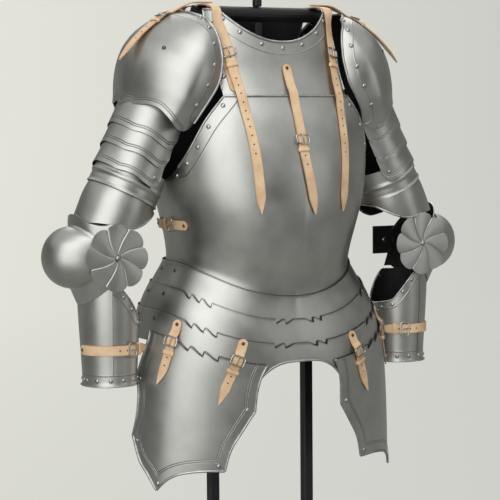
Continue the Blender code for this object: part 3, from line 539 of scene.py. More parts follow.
def smoothLine(keys, step=0.0025):
    # a smooth run through a few (point, out) keys
    fine = []
    for i in range(len(keys) - 1):
        p0, p1 = keys[max(i - 1, 0)][0], keys[i][0]
        p2, p3 = keys[i + 1][0], keys[min(i + 2, len(keys) - 1)][0]
        for k in range(12):
            t = k / 12
            bend = (2 * p0 - 5 * p1 + 4 * p2 - p3) * t**2 + (3 * p1 - p0 - 3 * p2 + p3) * t**3
            fine.append((0.5 * (2 * p1 + (p2 - p0) * t + bend), keys[i][1].lerp(keys[i + 1][1], t).normalized()))
    fine.append(keys[-1])
    return resample(fine, step)


def frameAt(line, i, closed=False):
    ahead = line[(i + 1) % len(line) if closed else min(i + 1, len(line) - 1)][0]
    behind = line[i - 1 if closed else max(i - 1, 0)][0]
    run = (ahead - behind).normalized()
    across = run.cross(line[i][1]).normalized()
    return run, across, across.cross(run).normalized()


def closeSkin(bm, made, capped=True):
    # merges the sides of a bent grid, caps its open ends and points its faces outwards
    faces = {face for vert in made for face in vert.link_faces}
    bmesh.ops.remove_doubles(bm, verts=made, dist=1e-7)
    faces = [face for face in faces if face.is_valid]
    if capped:
        ends = {edge for face in faces for edge in face.edges if edge.is_boundary}
        faces += bmesh.ops.holes_fill(bm, edges=list(ends), sides=0)["faces"]
    bmesh.ops.recalc_face_normals(bm, faces=faces)


def addTube(bm, line, radiusAt, around=8, closed=False):
    # a tube along a line, as thick as radiusAt(distance, turn) says
    last = len(line) if closed else len(line) - 1
    made = bmesh.ops.create_grid(bm, x_segments=last, y_segments=around, size=0.5)["verts"]
    frames = [frameAt(line, i, closed) for i in range(len(line))]
    reach = travelled(line)
    for vert in made:
        i = round((vert.co.x + 0.5) * last) % len(line)
        turn = 2 * math.pi * round((vert.co.y + 0.5) * around) / around
        run, across, out = frames[i]
        vert.co = line[i][0] + (across * math.cos(turn) + out * math.sin(turn)) * radiusAt(reach[i], turn)
    closeSkin(bm, made, capped=not closed)


roping = {
    "radius": 0.0020,
    "depth": 0.17,
    "strands": 3,
    "lay": 0.0084,
    "step": 0.0008,
    "plainStep": 0.003,
    "around": 9,
    "lift": 0.0004,
}


def addRope(bm, points, normals, radius=None, plain=False):
    # a filed rope on an edge; a plain one is only a turned edge
    size = radius or roping["radius"]
    raised = [(p + n * roping["lift"], n) for p, n in zip(points, normals)]

    def radiusAt(s, turn):
        twist = roping["strands"] * (turn - 2 * math.pi * s / roping["lay"])
        return size if plain else size * (1 + roping["depth"] * math.cos(twist))

    line = resample(raised, roping["plainStep" if plain else "step"])
    addTube(bm, line, radiusAt, roping["around"])


def addRivet(bm, point, out, radius=0.0041, height=0.0024, material=0):
    across = out.orthogonal().normalized()
    axes = Matrix((across * radius, out.cross(across) * radius, out * height)).transposed()
    place = Matrix.Translation(point) @ axes.to_4x4()
    made = bmesh.ops.create_uvsphere(bm, u_segments=16, v_segments=10, radius=1.0, matrix=place)["verts"]
    for face in {face for vert in made for face in vert.link_faces}:
        face.material_index = material


def surfaceNormal(surface, u, v, core, du=0.002, dv=0.002):
    across = surface(u + du, v) - surface(u - du, v)
    up = surface(u, v + dv) - surface(u, v - dv)
    normal = across.cross(up).normalized()
    return normal if normal.dot(surface(u, v) - core) > 0 else -normal
def ropeAlong(bm, surface, pairs, core, uEnds, vEnds):
    # a rope on a surface's edge, with its normals read a little inside the edge
    inside = [(min(uEnds[1], max(uEnds[0], u)), min(vEnds[1], max(vEnds[0], v))) for u, v in pairs]
    addRope(bm, edgeOf(surface, pairs), [surfaceNormal(surface, u, v, core) for u, v in inside])

# cuirass
cuirass = {
    "sideAngle": 95.0,
    "backReach": 95.45,
    "breastArmhole": (  # height, angle
        (1.150, 95.0), (1.158, 93.5), (1.166, 86.0), (1.176, 79.0), (1.208, 66.5), (1.265, 52.0),
        (1.303, 38.7),
    ),
    "upperArmhole": (
        (1.285, 38.2), (1.303, 38.7), (1.342, 46.0), (1.380, 55.5), (1.420, 63.0), (1.450, 68.0),
    ),
    "backArmhole": (
        (1.148, 95.45), (1.158, 92.5), (1.175, 80.0), (1.210, 70.0), (1.270, 60.0), (1.340, 56.0),
        (1.400, 60.0), (1.450, 70.0),
    ),
    "columns": 150,
    "rows": (80, 34, 110),
    "bandFrom": 0.62,
    "armBand": 23.0,
    "neckBand": 21.5,
    "neckRivets": (0.0, 0.039, 0.074, 0.098),
    "neckRivetDrop": 0.0095,
    "breastRivets": (1.288, 1.254, 1.221, 1.194, 1.174),
    "breastRivetTurn": math.degrees(0.0115 / 0.155) * 1.15,
    "upperRivet": (1.336, 4.6),
    "backRivets": (1.20, 1.24, 1.28, 1.32, 1.36, 1.40),
    "backRivetTurn": 4.8,
    "napeRivets": (180, 162, 144, 126, 198, 216, 234),
    "napeZ": 1.439,
}
breastArmholeAt, upperArmholeAt, backArmholeAt = (
    trackOf(cuirass[k]) for k in ("breastArmhole", "upperArmhole", "backArmhole")
)
bodyCore = Vector((0, body["midY"], 1.1))


def breastLowerSurface(u, v, lift=0.0):
    low = body["waistZ"] + rise(u * cuirass["sideAngle"]) - body["flange"]
    z = low + (body["seamZ"] - low) * v
    return torso(u * breastArmholeAt(z), z, lift)


@functools.lru_cache(None)
def neckHeight(u):
    z = body["neckZ"]
    for _ in range(8):
        x = torsoSkin(u * upperArmholeAt(z), z).x
        z = body["neckZ"] + body["neckRise"] * min(1.0, abs(x) / body["neckHalfWidth"]) ** 2.2
    return z


def breastUpperSurface(u, v, lift=0.0):
    low = body["seamZ"] - body["seamOverlap"]
    z = low + (neckHeight(u) - low) * v
    tuck = 0.001 * max(0.0, 1 - v / 0.05)
    return torso(u * upperArmholeAt(z), z, lift - body["layer"] - tuck)


def backSurface(u, v, lift=0.0):
    low = body["waistZ"] + rise(180 - u * cuirass["backReach"]) - body["flange"]
    z = low + (body["seamZ"] - low) * min(v, 1) + (body["shoulderZ"] - body["seamZ"]) * max(v - 1, 0)
    return torso(180 - u * backArmholeAt(z), z, lift - body["layer"])


def makeCuirass(c):
    sides = steps(c["columns"], -1, 1)
    lowerRows, upperRows, backRows = c["rows"]
    armEdge = [(s, v) for s in (-1, 1) for v in steps(300, c["bandFrom"], 1)]
    neckEdge = [(u, 1.0) for u in steps(500, -1, 1)]
    backEdge = [(s, v) for s in (-1, 1) for v in steps(400, c["bandFrom"], 2)]
    nape = [(u, 2.0) for u in steps(400, -1, 1)]
    arms, neck = c["armBand"], c["neckBand"]
    plates = (
        ("breastplate_lower", "breast_lower", breastLowerSurface, steps(lowerRows), ((armEdge, arms),)),
        ("breastplate_upper", "breast_upper", breastUpperSurface, steps(upperRows), ((neckEdge, neck),)),
        ("back_plate", "backplate", backSurface, steps(backRows, 0, 2), ((backEdge, arms), (nape, neck))),
    )
    for name, node, surface, rows, lines in plates:
        band = [(edgeOf(surface, pairs), width) for pairs, width in lines]
        plate = bentSheet(name, surface, sides, rows, bodyCore, band=band)
        settle(plate, "suit_and_stand", "plate_steel", node)

    trims = bmesh.new()
    for side in (-1, 1):
        for surface, run in (
            (breastLowerSurface, steps(110, 0.60, 0.995)),
            (breastUpperSurface, steps(60, 0.16, 0.99)),
            (backSurface, steps(120, 0.60, 1.98)),
        ):
            ropeAlong(trims, surface, [(side, v) for v in run], bodyCore, (-0.996, 0.996), (0, 1.99))
    tops = ((breastLowerSurface, 120, 1.0), (breastUpperSurface, 160, 1.0), (backSurface, 160, 2.0))
    for surface, count, v in tops:
        pairs = [(u, v) for u in steps(count, -0.99, 0.99)]
        ropeAlong(trims, surface, pairs, bodyCore, (-0.996, 0.996), (0, 1.99))
    settle(linkMesh("cuirass_roped_edges", trims, [ropeSteel], 60), "suit_and_stand", "plate_steel")

    rivets = bmesh.new()
    under = -body["layer"]
    spots = []  # angle, height, lift
    for x in c["neckRivets"]:
        for side in (-1, 1) if x else (1,):
            z = body["neckZ"] + body["neckRise"] * (x / body["neckHalfWidth"]) ** 2.2 - c["neckRivetDrop"]
            spots.append((angleAt(side * x, z), z, under))
    upperZ, upperTurn = c["upperRivet"]
    for side in (-1, 1):
        spots += [(side * (breastArmholeAt(z) - c["breastRivetTurn"]), z, 0) for z in c["breastRivets"]]
        spots.append((side * (upperArmholeAt(upperZ) - upperTurn), upperZ, under))
        spots += [(side * (180 - backArmholeAt(z) + c["backRivetTurn"]), z, under) for z in c["backRivets"]]
    spots += [(angle, c["napeZ"], under) for angle in c["napeRivets"]]
    for angle, z, lift in spots:
        addRivet(rivets, torso(angle, z, lift), outward(angle, z))
    settle(linkMesh("cuirass_rivets", rivets, [rivetSteel]), "suit_and_stand", "plate_steel")


makeCuirass(cuirass)
print("cuirass made")

# skirt of lames
skirt = {
    "tops": (0.974, 0.936, 0.897),
    "bottoms": (0.926, 0.887, 0.846),
    "endAngle": 96.5,
    "seamAngle": 0.22,
    "archZ": 0.868,
    "archDrop": 0.033,
    "archHalf": 0.078,
    "archBlend": 0.035,
    "cuspDepth": 0.0078,
    "cuspStep": 0.8,
    "flare": (0.0045, 0.0011),
    "edgeLine": 0.7,
    "fineTop": (0, 0.015, 0.03, 0.05, 0.075, 0.11, 0.16, 0.23, 0.32, 0.42, 0.52, 0.62, 0.72, 0.82, 0.92, 1.0),
    "lameCusps": (  # first angle, width of a tooth, teeth, whether they fall outwards
        (),
        ((1.6, 4.8, 2, 1), (47.4, 7.4, 3, 0)),
        ((1.6, 4.8, 2, 1), (40.0, 7.4, 3, 0)),
    ),
    "cuspMarks": (0, 0.08, 0.18, 0.3, 0.42, 0.55, 0.68, 0.8, 0.9, 1),
    "rivetAngles": (84.0, 101.0),
    "rivetDrop": 0.014,
    "tassetCusps": ((37.0, 8.4, 3, 0),),
}


def cuspCut(groups, angle):
    angle = abs(angle)
    for start, tooth, teeth, falling in groups:
        for k in range(teeth):
            share = (angle - start - k * tooth) / (tooth - skirt["cuspStep"])
            if 0 <= share <= 1:
                share = share if falling else 1 - share
                return skirt["cuspDepth"] * (0.5 - 0.5 * math.cos(math.pi * share**0.85))
    return 0.0


def flare(distance):
    # a lame's upper edge is turned out a little
    return skirt["flare"][1] * max(0.0, 1 - distance / skirt["flare"][0]) ** 2


def cuspStations(groups):
    marks = []
    for start, tooth, teeth, falling in groups:
        for k in range(teeth):
            first, cut = start + k * tooth, tooth - skirt["cuspStep"]
            marks += [first - 0.1, first + cut + 0.1]
            marks += [first + cut * share for share in skirt["cuspMarks"]]
    return marks


def archHeight(angle, z):
    x = abs(torsoSkin(angle, skirt["archZ"]).x)
    if x < skirt["archHalf"]:
        return skirt["archZ"] - skirt["archDrop"] * (x / skirt["archHalf"]) ** 3.5
    share = min(1.0, (x - skirt["archHalf"]) / skirt["archBlend"])
    share = share * share * (3 - 2 * share)
    return (skirt["archZ"] - skirt["archDrop"]) * (1 - share) + z * share


def makeSkirt(s):
    edges, rivets = bmesh.new(), bmesh.new()
    end = s["endAngle"]
    fineTop = s["fineTop"]
    for number, (top, bottom) in enumerate(zip(s["tops"], s["bottoms"]), 1):
        lift = body["layer"] * number + body["gap"]
        groups = s["lameCusps"][number - 1]
        marks = [m for m in cuspStations(groups) if m > 0]
        across = sorted(set(steps(128, -end, end) + marks + [-m for m in marks]))

        def surface(angle, v, number=number, top=top, bottom=bottom, groups=groups, lift=lift):
            high = top + rise(angle) - cuspCut(groups, angle) * max(0.0, 1 - v * 4)
            low = bottom + rise(angle)
            if number == 3:
                low = archHeight(angle, low)
            return torso(angle, high + (low - high) * v, lift + flare((high - low) * v))

        edge = edgeOf(surface, [(angle, 0.0) for angle in sorted(across + steps(500, -end, end))])
        lame = bentSheet(f"skirt_lame_{number}", surface, across, fineTop, bodyCore,
                         band=((edge, s["edgeLine"]),), paintedShadeRim=True)
        settle(lame, "suit_and_stand", "plate_steel", f"fauld_{number}")
        if number == 3:
            arch = [angle for angle in across if abs(angle) <= 17.5]
            points = [surface(angle, 1.0, lift=lift + 0.0003) for angle in arch]
            addRope(edges, points, [outward(angle, 0.85) for angle in arch], 0.0021, plain=True)
        back = 180 - end - s["seamAngle"]

        def rear(angle, v, top=top, bottom=bottom, lift=lift):
            z = top + body["waistRise"] + (bottom - top) * v
            return torso(180 - angle, z, lift + flare((top - bottom) * v))

        lame = bentSheet(f"skirt_back_lame_{number}", rear, steps(90, -back, back), fineTop, bodyCore,
                         paintedShadeRim=True)
        settle(lame, "suit_and_stand", "plate_steel", f"culet_{number}")
        for angle in [side * angle for side in (-1, 1) for angle in s["rivetAngles"]]:
            z = top + rise(angle) - s["rivetDrop"]
            addRivet(rivets, torso(angle, z, lift), outward(angle, z), 0.0036, 0.0020)
    settle(linkMesh("skirt_arch_edge", edges, [ropeSteel], 60), "suit_and_stand", "plate_steel")
    settle(linkMesh("skirt_rivets", rivets, [darkRivet]), "suit_and_stand", "plate_steel")


makeSkirt(skirt)
print("skirt made")

# tassets
tasset = {
    "topZ": 0.862,
    "top": (13.2, 84.0),
    "inner": (  # share of the height, angle
        ((0.00, 13.2), (0.10, 15.2), (0.22, 16.2), (0.445, 16.5)),
        ((0.445, 16.5), (0.62, 21.5), (0.80, 26.5), (1.00, 29.0)),
    ),
    "outer": (
        ((0.00, 84.0), (0.10, 84.0), (0.22, 85.2), (0.43, 88.5)),
        ((0.43, 88.5), (0.50, 86.9), (0.62, 85.6), (0.80, 86.4), (1.00, 89.5)),
    ),
    "hem": (  # share of the width, height
        ((0.00, 0.692), (0.20, 0.693), (0.40, 0.688), (0.52, 0.678), (0.635, 0.660)),
        ((0.635, 0.660), (0.75, 0.684), (0.88, 0.706), (1.00, 0.743)),
    ),
    "lift": 0.0022 * 4 + 0.0008,
    "lines": 15.0,
    "rivets": ((0.045, 0.43), (0.965, 0.42), (0.055, 0.955), (0.95, 0.95), (0.635, 0.955)),  # across, down
}


def brokenTrack(parts):
    tracks = [(part[-1][0], trackOf(part)) for part in parts]

    def read(key):
        for last, track in tracks:
            if key <= last:
                return track(key)
        return tracks[-1][1](key)

    return read


tassetInner, tassetOuter, tassetHem = (brokenTrack(tasset[k]) for k in ("inner", "outer", "hem"))


def tassetSurface(u, v, lift=0.0):
    angle = tassetInner(v) + (tassetOuter(v) - tassetInner(v)) * u
    first, last = tasset["top"]
    topAngle = first + (last - first) * u
    cut = cuspCut(skirt["tassetCusps"], topAngle) * max(0.0, 1 - v * 15)
    high = tasset["topZ"] + rise(topAngle) - cut
    height = high - tassetHem(u)
    return torso(angle, high - height * v, tasset["lift"] + lift + flare(height * v))


def makeTasset(t):
    wide = t["top"][1] - t["top"][0]
    marks = [(angle - t["top"][0]) / wide for angle in cuspStations(skirt["tassetCusps"])]
    across = sorted(set(steps(84) + [0.635] + marks))
    down = sorted(set(steps(72) + [0.004, 0.008, 0.019, 0.43, 0.445]))
    rim = [(0.0, v) for v in steps(200)] + [(u, 1.0) for u in steps(250)]
    rim += [(1.0, v) for v in steps(200, 1, 0)]
    core = Vector((0, body["midY"], 0.8))
    top = edgeOf(tassetSurface, [(u, 0.0) for u in sorted(across + steps(300))])
    plate = bentSheet("tasset_plate_L", tassetSurface, across, down, core, band=((top, skirt["edgeLine"]),),
                      hem=((edgeOf(tassetSurface, rim), t["lines"]),), paintedShadeRim=True)
    settlePair(plate, "suit_and_stand", "plate_steel", "tasset")
    edges, rivets = bmesh.new(), bmesh.new()
    runs = (
        [(0.0, v) for v in steps(40, 0, 0.445)], [(0.0, v) for v in steps(40, 0.445, 1)],
        [(u, 1.0) for u in steps(50, 0, 0.635)], [(u, 1.0) for u in steps(30, 0.635, 1)],
        [(1.0, v) for v in steps(40, 1, 0.43)], [(1.0, v) for v in steps(30, 0.43, 0)],
    )
    for run in runs:
        ropeAlong(edges, tassetSurface, run, core, (0.01, 0.99), (0.01, 0.99))
    settlePair(linkMesh("tasset_roped_edge_L", edges, [ropeSteel], 60), "suit_and_stand", "plate_steel")
    for u, v in t["rivets"]:
        addRivet(rivets, tassetSurface(u, v), surfaceNormal(tassetSurface, u, v, core), 0.0042, 0.0024)
    settlePair(linkMesh("tasset_rivets_L", rivets, [rivetSteel]), "suit_and_stand", "plate_steel")


makeTasset(tasset)
print("tassets made")

# pauldrons
pauldron = {
    "shape": (  # along the arm, side radius, face radius
        (-0.100, 0.0640, 0.084), (-0.085, 0.0655, 0.087), (-0.070, 0.0680, 0.091), (-0.045, 0.0775, 0.100),
        (-0.020, 0.0850, 0.104), (0.000, 0.0875, 0.105), (0.020, 0.0865, 0.103), (0.047, 0.0780, 0.095),
        (0.0815, 0.0560, 0.0755), (0.098, 0.0380, 0.058),
    ),
    "spread": (
        (-0.100, 117.0), (-0.070, 116.0), (-0.045, 113.5), (0.000, 115.0), (0.020, 114.0), (0.050, 110.0),
        (0.0815, 98.0), (0.098, 80.0),
    ),
    "hem": ((0.00, -0.0846), (0.17, -0.0770), (0.25, -0.0800), (0.45, -0.0750), (0.58, -0.0755),
            (0.70, -0.0845), (0.79, -0.0930), (0.87, -0.0945), (0.94, -0.0885), (1.00, -0.0770)),
    "rear": 1.09,
    "rearReach": 0.92,
    "flatness": 1.55,
    "band": 19.0,
    "hemLines": 6.5,
    "rivetHeights": (1.432, 1.415, 1.388, 1.353, 1.320, 1.288),
    "darkRivets": ((0.42, 0.018), (0.02, 0.010)),  # round the arm, along it
}
pauldronSide, pauldronFace = trackOf(pauldron["shape"], 1), trackOf(pauldron["shape"], 2)
pauldronSpread, pauldronHem = trackOf(pauldron["spread"]), trackOf(pauldron["hem"])


def pauldronPoint(u, along, lift=0.0):
    angle = u * pauldronSpread(along)
    side, face = pauldronSide(along), pauldronFace(along)
    if u < 0:
        angle *= pauldron["rearReach"]
        face *= pauldron["rear"]
    turn = math.radians(angle)
    bend = pauldron["flatness"] if 0 < angle < 90 else 2
    radius = (abs(math.cos(turn) / side) ** bend + abs(math.sin(turn) / face) ** bend) ** (-1 / bend)
    return sleeve(angle, arm["shoulder"] + along, radius + lift)


def pauldronSurface(u, v, lift=0.0):
    low = pauldronHem(abs(u))
    return pauldronPoint(u, low + (pauldron["shape"][-1][0] - low) * v, lift)


def makePauldron(p):
    core = sleeve(0, arm["shoulder"], 0)
    rim = [(s, v) for s in (-1, 1) for v in steps(250, 0.10, 1)] + [(u, 1.0) for u in steps(150, -1, 1)]
    foot = [(u, 0.0) for u in steps(400, -0.84, 0.84)]
    plate = bentSheet("pauldron_plate_L", pauldronSurface, steps(100, -1, 1), steps(60), core,
                      band=((edgeOf(pauldronSurface, rim), p["band"]),),
                      hem=((edgeOf(pauldronSurface, foot), p["hemLines"]),))
    settlePair(plate, "suit_and_stand", "plate_steel", "pauldron")
    edges, rivets, darkRivets = bmesh.new(), bmesh.new(), bmesh.new()
    runs = [[(side, v) for v in steps(70, 0.03, 0.99)] for side in (1, -1)]
    for run in (*runs, [(u, 1.0) for u in steps(50, -0.98, 0.98)]):
        ropeAlong(edges, pauldronSurface, run, core, (-0.99, 0.99), (0.02, 0.98))
    settlePair(linkMesh("pauldron_roped_edge_L", edges, [ropeSteel], 60), "suit_and_stand", "plate_steel")
    for z in p["rivetHeights"]:
        for side in (0.90, -0.90):
            low, high = 0.0, 1.0
            for _ in range(20):
                middle = (low + high) / 2
                low, high = (middle, high) if pauldronSurface(side, middle).z < z else (low, middle)
            addRivet(rivets, pauldronSurface(side, low), surfaceNormal(pauldronSurface, side, low, core))
    settlePair(linkMesh("pauldron_rivets_L", rivets, [rivetSteel]), "suit_and_stand", "plate_steel")
    for u, along in p["darkRivets"]:
        normal = (pauldronPoint(u, along, 0.01) - pauldronPoint(u, along)).normalized()
        addRivet(darkRivets, pauldronPoint(u, along), normal, 0.0036, 0.0022)
    settlePair(linkMesh("pauldron_dark_rivets_L", darkRivets, [darkRivet]), "suit_and_stand", "plate_steel")


makePauldron(pauldron)
print("pauldrons made")

# upper arm
upperArm = {
    "lames": (
        ((0.262, 0.0640), (0.234, 0.0640), (0.208, 0.0648)),
        ((0.222, 0.0620), (0.195, 0.0626), (0.174, 0.0642)),
        ((0.188, 0.0606), (0.161, 0.0614), (0.140, 0.0637)),
    ),
    "wave": (  # angle round the arm, how far the hem hangs
        (0.0, 0.000), (30.0, 0.0035), (45.0, 0.0060), (60.0, 0.0045), (75.0, 0.0055), (90.0, 0.0095),
        (105.0, 0.0110), (113.0, 0.0060), (118.0, -0.0080),
    ),
    "reach": 118.0,
    "hemLines": 7.5,
    "turnerTilt": 0.004,
    "turner": (  # along the arm, radius
        (0.107, 0.0618), (0.1095, 0.0606), (0.112, 0.0597), (0.116, 0.0596), (0.1215, 0.0592),
        (0.124, 0.0594), (0.1265, 0.0609), (0.129, 0.0612), (0.1315, 0.0600), (0.134, 0.0590),
        (0.156, 0.0588),
    ),
    "cannon": (
        (0.030, 0.0583), (0.060, 0.0598), (0.085, 0.0604), (0.103, 0.0588), (0.113, 0.0569), (0.122, 0.0568),
    ),
    "foot": (  # angle round the arm, height of the lower edge
        (0.0, 0.0285), (45.0, 0.040), (80.0, 0.049), (106.0, 0.056), (122.0, 0.068), (137.0, 0.083),
        (155.0, 0.097), (180.0, 0.102),
    ),
}
waveAt, turnerAt, cannonAt, footAt = (trackOf(upperArm[k]) for k in ("wave", "turner", "cannon", "foot"))


def cannonSurface(angle, v, lift=0.0):
    low = footAt(angle if angle <= 180 else 360 - angle)
    along = low + (upperArm["cannon"][-1][0] - low) * v
    return sleeve(angle, along, cannonAt(along) + lift)


def makeUpperArm(a):
    rivets = bmesh.new()
    for number, rings in enumerate(a["lames"], 1):
        radiusAt = trackOf(rings[::-1])
        top, bottom = rings[0][0], rings[-1][0]

        def surface(angle, v, radiusAt=radiusAt, top=top, bottom=bottom):
            rounding = 0.012 * max(0.0, abs(angle) - 105) / 13 * (1 - v)
            along = top + (bottom - top) * v
            return sleeve(angle, along - waveAt(abs(angle)) * v - rounding, radiusAt(along))

        core = sleeve(0, (top + bottom) / 2, 0)
        hem = edgeOf(surface, [(angle, 1.0) for angle in steps(400, -112, 112)])
        lame = bentSheet(f"arm_lame_plate_{number}_L", surface, steps(90, -a["reach"], a["reach"]), steps(16),
                         core, hem=((hem, a["hemLines"]),), paintedShadeRim=True)
        settlePair(lame, "suit_and_stand", "plate_steel", f"arm_lame_{number}")
        for angle in (-108, 106) if number == 3 else ():
            point = surface(angle, 0.72)
            addRivet(rivets, point, (point - sleeve(0, bottom + 0.012, 0)).normalized(), 0.0036, 0.002)
    settlePair(linkMesh("arm_lame_rivets_L", rivets, [rivetSteel]), "suit_and_stand", "plate_steel")

    def ring(angle, along):
        return sleeve(angle, along - a["turnerTilt"] * math.sin(math.radians(angle)), turnerAt(along))

    around = steps(96, 0, 360)
    along = steps(40, a["turner"][0][0], a["turner"][-1][0])
    turner = bentSheet("turner_ring_plate_L", ring, around, along, sleeve(0, 0.13, 0), closed=True)
    settlePair(turner, "suit_and_stand", "plate_steel", "turner_ring")
    core = sleeve(0, 0.09, 0)
    cannon = bentSheet("upper_cannon_plate_L", cannonSurface, around, steps(40), core, closed=True)
    settlePair(cannon, "upper_arm", "plate_steel", "upper_cannon")
    edges = bmesh.new()
    run = steps(90, 82, 278)
    normals = [(cannonSurface(angle, 0, 0.01) - cannonSurface(angle, 0)).normalized() for angle in run]
    addRope(edges, [cannonSurface(angle, 0) for angle in run], normals, 0.0018)
    settlePair(linkMesh("cannon_roped_edge_L", edges, [ropeSteel], 60), "upper_arm", "plate_steel")


makeUpperArm(upperArm)
print("upper arms made")

# elbow
elbow = {
    "ball": 0.0508,
    "halfWidth": 0.060,
    "squareness": 2.3,
    "span": 82.0,
    "cup": (-42.0, 41.0),
    "upper": (  # station, angle, reach, half width
        (0, 24.0, 0.0728, 0.0580), (1, 36.0, 0.0732, 0.0580), (2, 45.7, 0.0735, 0.0580),
        (3, 54.1, 0.0864, 0.0585),
    ),
    "lower": ((0, -26.0, 0.0728, 0.0580), (1, -38.0, 0.0732, 0.0580), (2, -46.5, 0.0735, 0.0570)),
    "lowerEdge": 0.968,
    "lowerClimb": 0.0475,
    "lowerEnd": 0.998,
    "rosette": 0.0535,
    "petals": 8,
    "petalMarks": (0, 0.02, 0.045, 0.08, 0.13, 0.2, 0.3, 0.4, 0.5, 0.6, 0.7, 0.8, 0.87, 0.92, 0.955, 0.98),
    "groove": (0.0007, 0.0009),  # depth and width
    "swirl": -0.62,
    "pinRing": 0.0052,
    "ear": 0.025,
}
forearm = {
    "radii": (  # height, radius
        (0.8345, 0.0478), (0.841, 0.0461), (0.880, 0.0478), (0.930, 0.0508), (0.970, 0.0526), (1.010, 0.0528),
    ),
    "seam": 71.0,
    "top": 0.9935,
    "cuff": 0.8345,
    "innerTop": (  # angle, height
        (66.0, 0.9935), (88.0, 0.9925), (100.0, 0.982), (124.0, 0.955), (135.0, 0.945), (180.0, 0.938),
    ),
    "band": 18.0,
    "innerBand": 13.5,
    "seamLine": 0.5,
}
forearmRadius, innerTopAt = trackOf(forearm["radii"]), trackOf(forearm["innerTop"])


def elbowPoint(angle, w, reach, halfWidth):
    turn, lean = math.radians(angle), math.radians(w)
    out = reach * power(math.cos(lean), 2 / elbow["squareness"])
    y = halfWidth * power(math.sin(lean), 2 / elbow["squareness"])
    return arm["elbow"] + Vector((out * math.cos(turn), y, out * math.sin(turn)))


def forearmPoint(angle, z, lift=0.0):
    turn = math.radians(angle)
    radius = forearmRadius(z) + lift
    return Vector((arm["forearmX"] + radius * math.cos(turn), arm["elbow"].y - radius * math.sin(turn), z))


def makeElbow(e):
    span = steps(60, -e["span"], e["span"])

    def ball(w, angle):
        turn = math.radians(angle)
        reach = e["ball"] * (math.cos(turn) + math.sqrt(1 - math.sin(turn) ** 2))
        return elbowPoint(angle, w, reach, e["halfWidth"])

    couter = bentSheet("couter_cup_L", ball, span, steps(40, *e["cup"]), arm["elbow"])
    settlePair(couter, "elbow", "plate_steel", "couter")
    angleOf, reachOf, widthOf = (trackOf(e["upper"], k, smooth=False) for k in (1, 2, 3))

    def upper(w, t):
        return elbowPoint(angleOf(t), w, reachOf(t), widthOf(t))

    lame = bentSheet("elbow_upper_lame_L", upper, span, steps(18, 0, 3), arm["elbow"])
    settlePair(lame, "upper_arm", "plate_steel", "elbow_lame_upper")
    angleLow, reachLow, widthLow = (trackOf(e["lower"], k, smooth=False) for k in (1, 2, 3))

    def lower(w, t):
        cup = elbowPoint(angleLow(t), w, reachLow(t), widthLow(t))
        climb = e["lowerClimb"] * (1 - math.cos(math.radians(w)))
        edge = forearmPoint(-w, min(e["lowerEdge"] + climb, e["lowerEnd"]), body["wall"] + 0.0006)
        return cup.lerp(edge, max(0.0, t - 2) / 2)

    lame = bentSheet("elbow_lower_lame_L", lower, span, steps(24, 0, 4), arm["elbow"])
    settlePair(lame, "forearm", "plate_steel", "elbow_lame_lower")


def makeRosette(e):
    # both rosettes turn the same way, so the right one is moved over and not mirrored
    count = e["petals"]

    def petalShape(angle, radius):
        share = radius / e["rosette"]
        phase = (angle * count / 360) % 1
        lobe = math.sin(math.pi * phase)
        reach = radius * (1.0 + (lobe**0.5 - 0.85) * 0.14 * share**3)
        turn = math.radians(angle) + e["swirl"] * share * (1.25 - 0.55 * share)
        width = 2 * math.pi * radius / count * min(phase, 1 - phase)
        depth, spread = e["groove"]
        groove = depth * math.exp(-((width / spread) ** 2)) * min(1.0, share * 3)
        swell = 0.0014 * lobe * share - 0.0022 * share**2
        y = -e["halfWidth"] - 0.0022 - swell + groove
        return Vector((reach * math.cos(turn), y, reach * math.sin(turn)))

    around = [360 / count * (petal + share) for petal in range(count) for share in e["petalMarks"]] + [360.0]
    front = Vector((0, -1, 0))
    for side, sign in (("L", 1), ("R", -1)):
        centre = Vector((sign * arm["elbow"].x, arm["elbow"].y, arm["elbow"].z))

        def petals(angle, radius, centre=centre):
            return centre + petalShape(angle, radius)

        disc = bentSheet(f"rosette_petals_{side}", petals, around, steps(26, 0.0015, e["rosette"]),
                         centre + Vector((0, 0.02, 0)), closed=True, wall=0.0014)
        settle(disc, f"elbow_{side}", "plate_steel", f"rosette_{side}")
        pin, washer = bmesh.new(), []
        addRivet(pin, centre + front * (e["halfWidth"] + 0.0024), front, 0.0044, 0.0034)
        for t in steps(23, 0, 2 * math.pi * 23 / 24):
            spoke = Vector((math.cos(t), 0, math.sin(t))) * e["pinRing"]
            washer.append((centre + front * (e["halfWidth"] + 0.0022) + spoke, front))
        addTube(pin, washer, lambda s, turn: 0.0008, 6, closed=True)
        settle(linkMesh(f"rosette_rivet_{side}", pin, [rivetSteel]), f"elbow_{side}", "plate_steel")


def makeEar(e):
    def square(x, z):
        return arm["elbow"] + Vector((x, e["halfWidth"] + body["wall"], z))

    side = steps(14, -e["ear"], e["ear"])
    plate = bentSheet("elbow_rear_plate_L", square, side, side, arm["elbow"])
    settlePair(plate, "elbow", "plate_steel", "elbow_ear")
    pin = bmesh.new()
    addRivet(pin, square(0, 0), Vector((0, 1, 0)), 0.0048, 0.003)
    settlePair(linkMesh("elbow_rear_rivet_L", pin, [rivetSteel]), "elbow", "plate_steel")


makeElbow(elbow)
makeRosette(elbow)
makeEar(elbow)
print("elbows made")


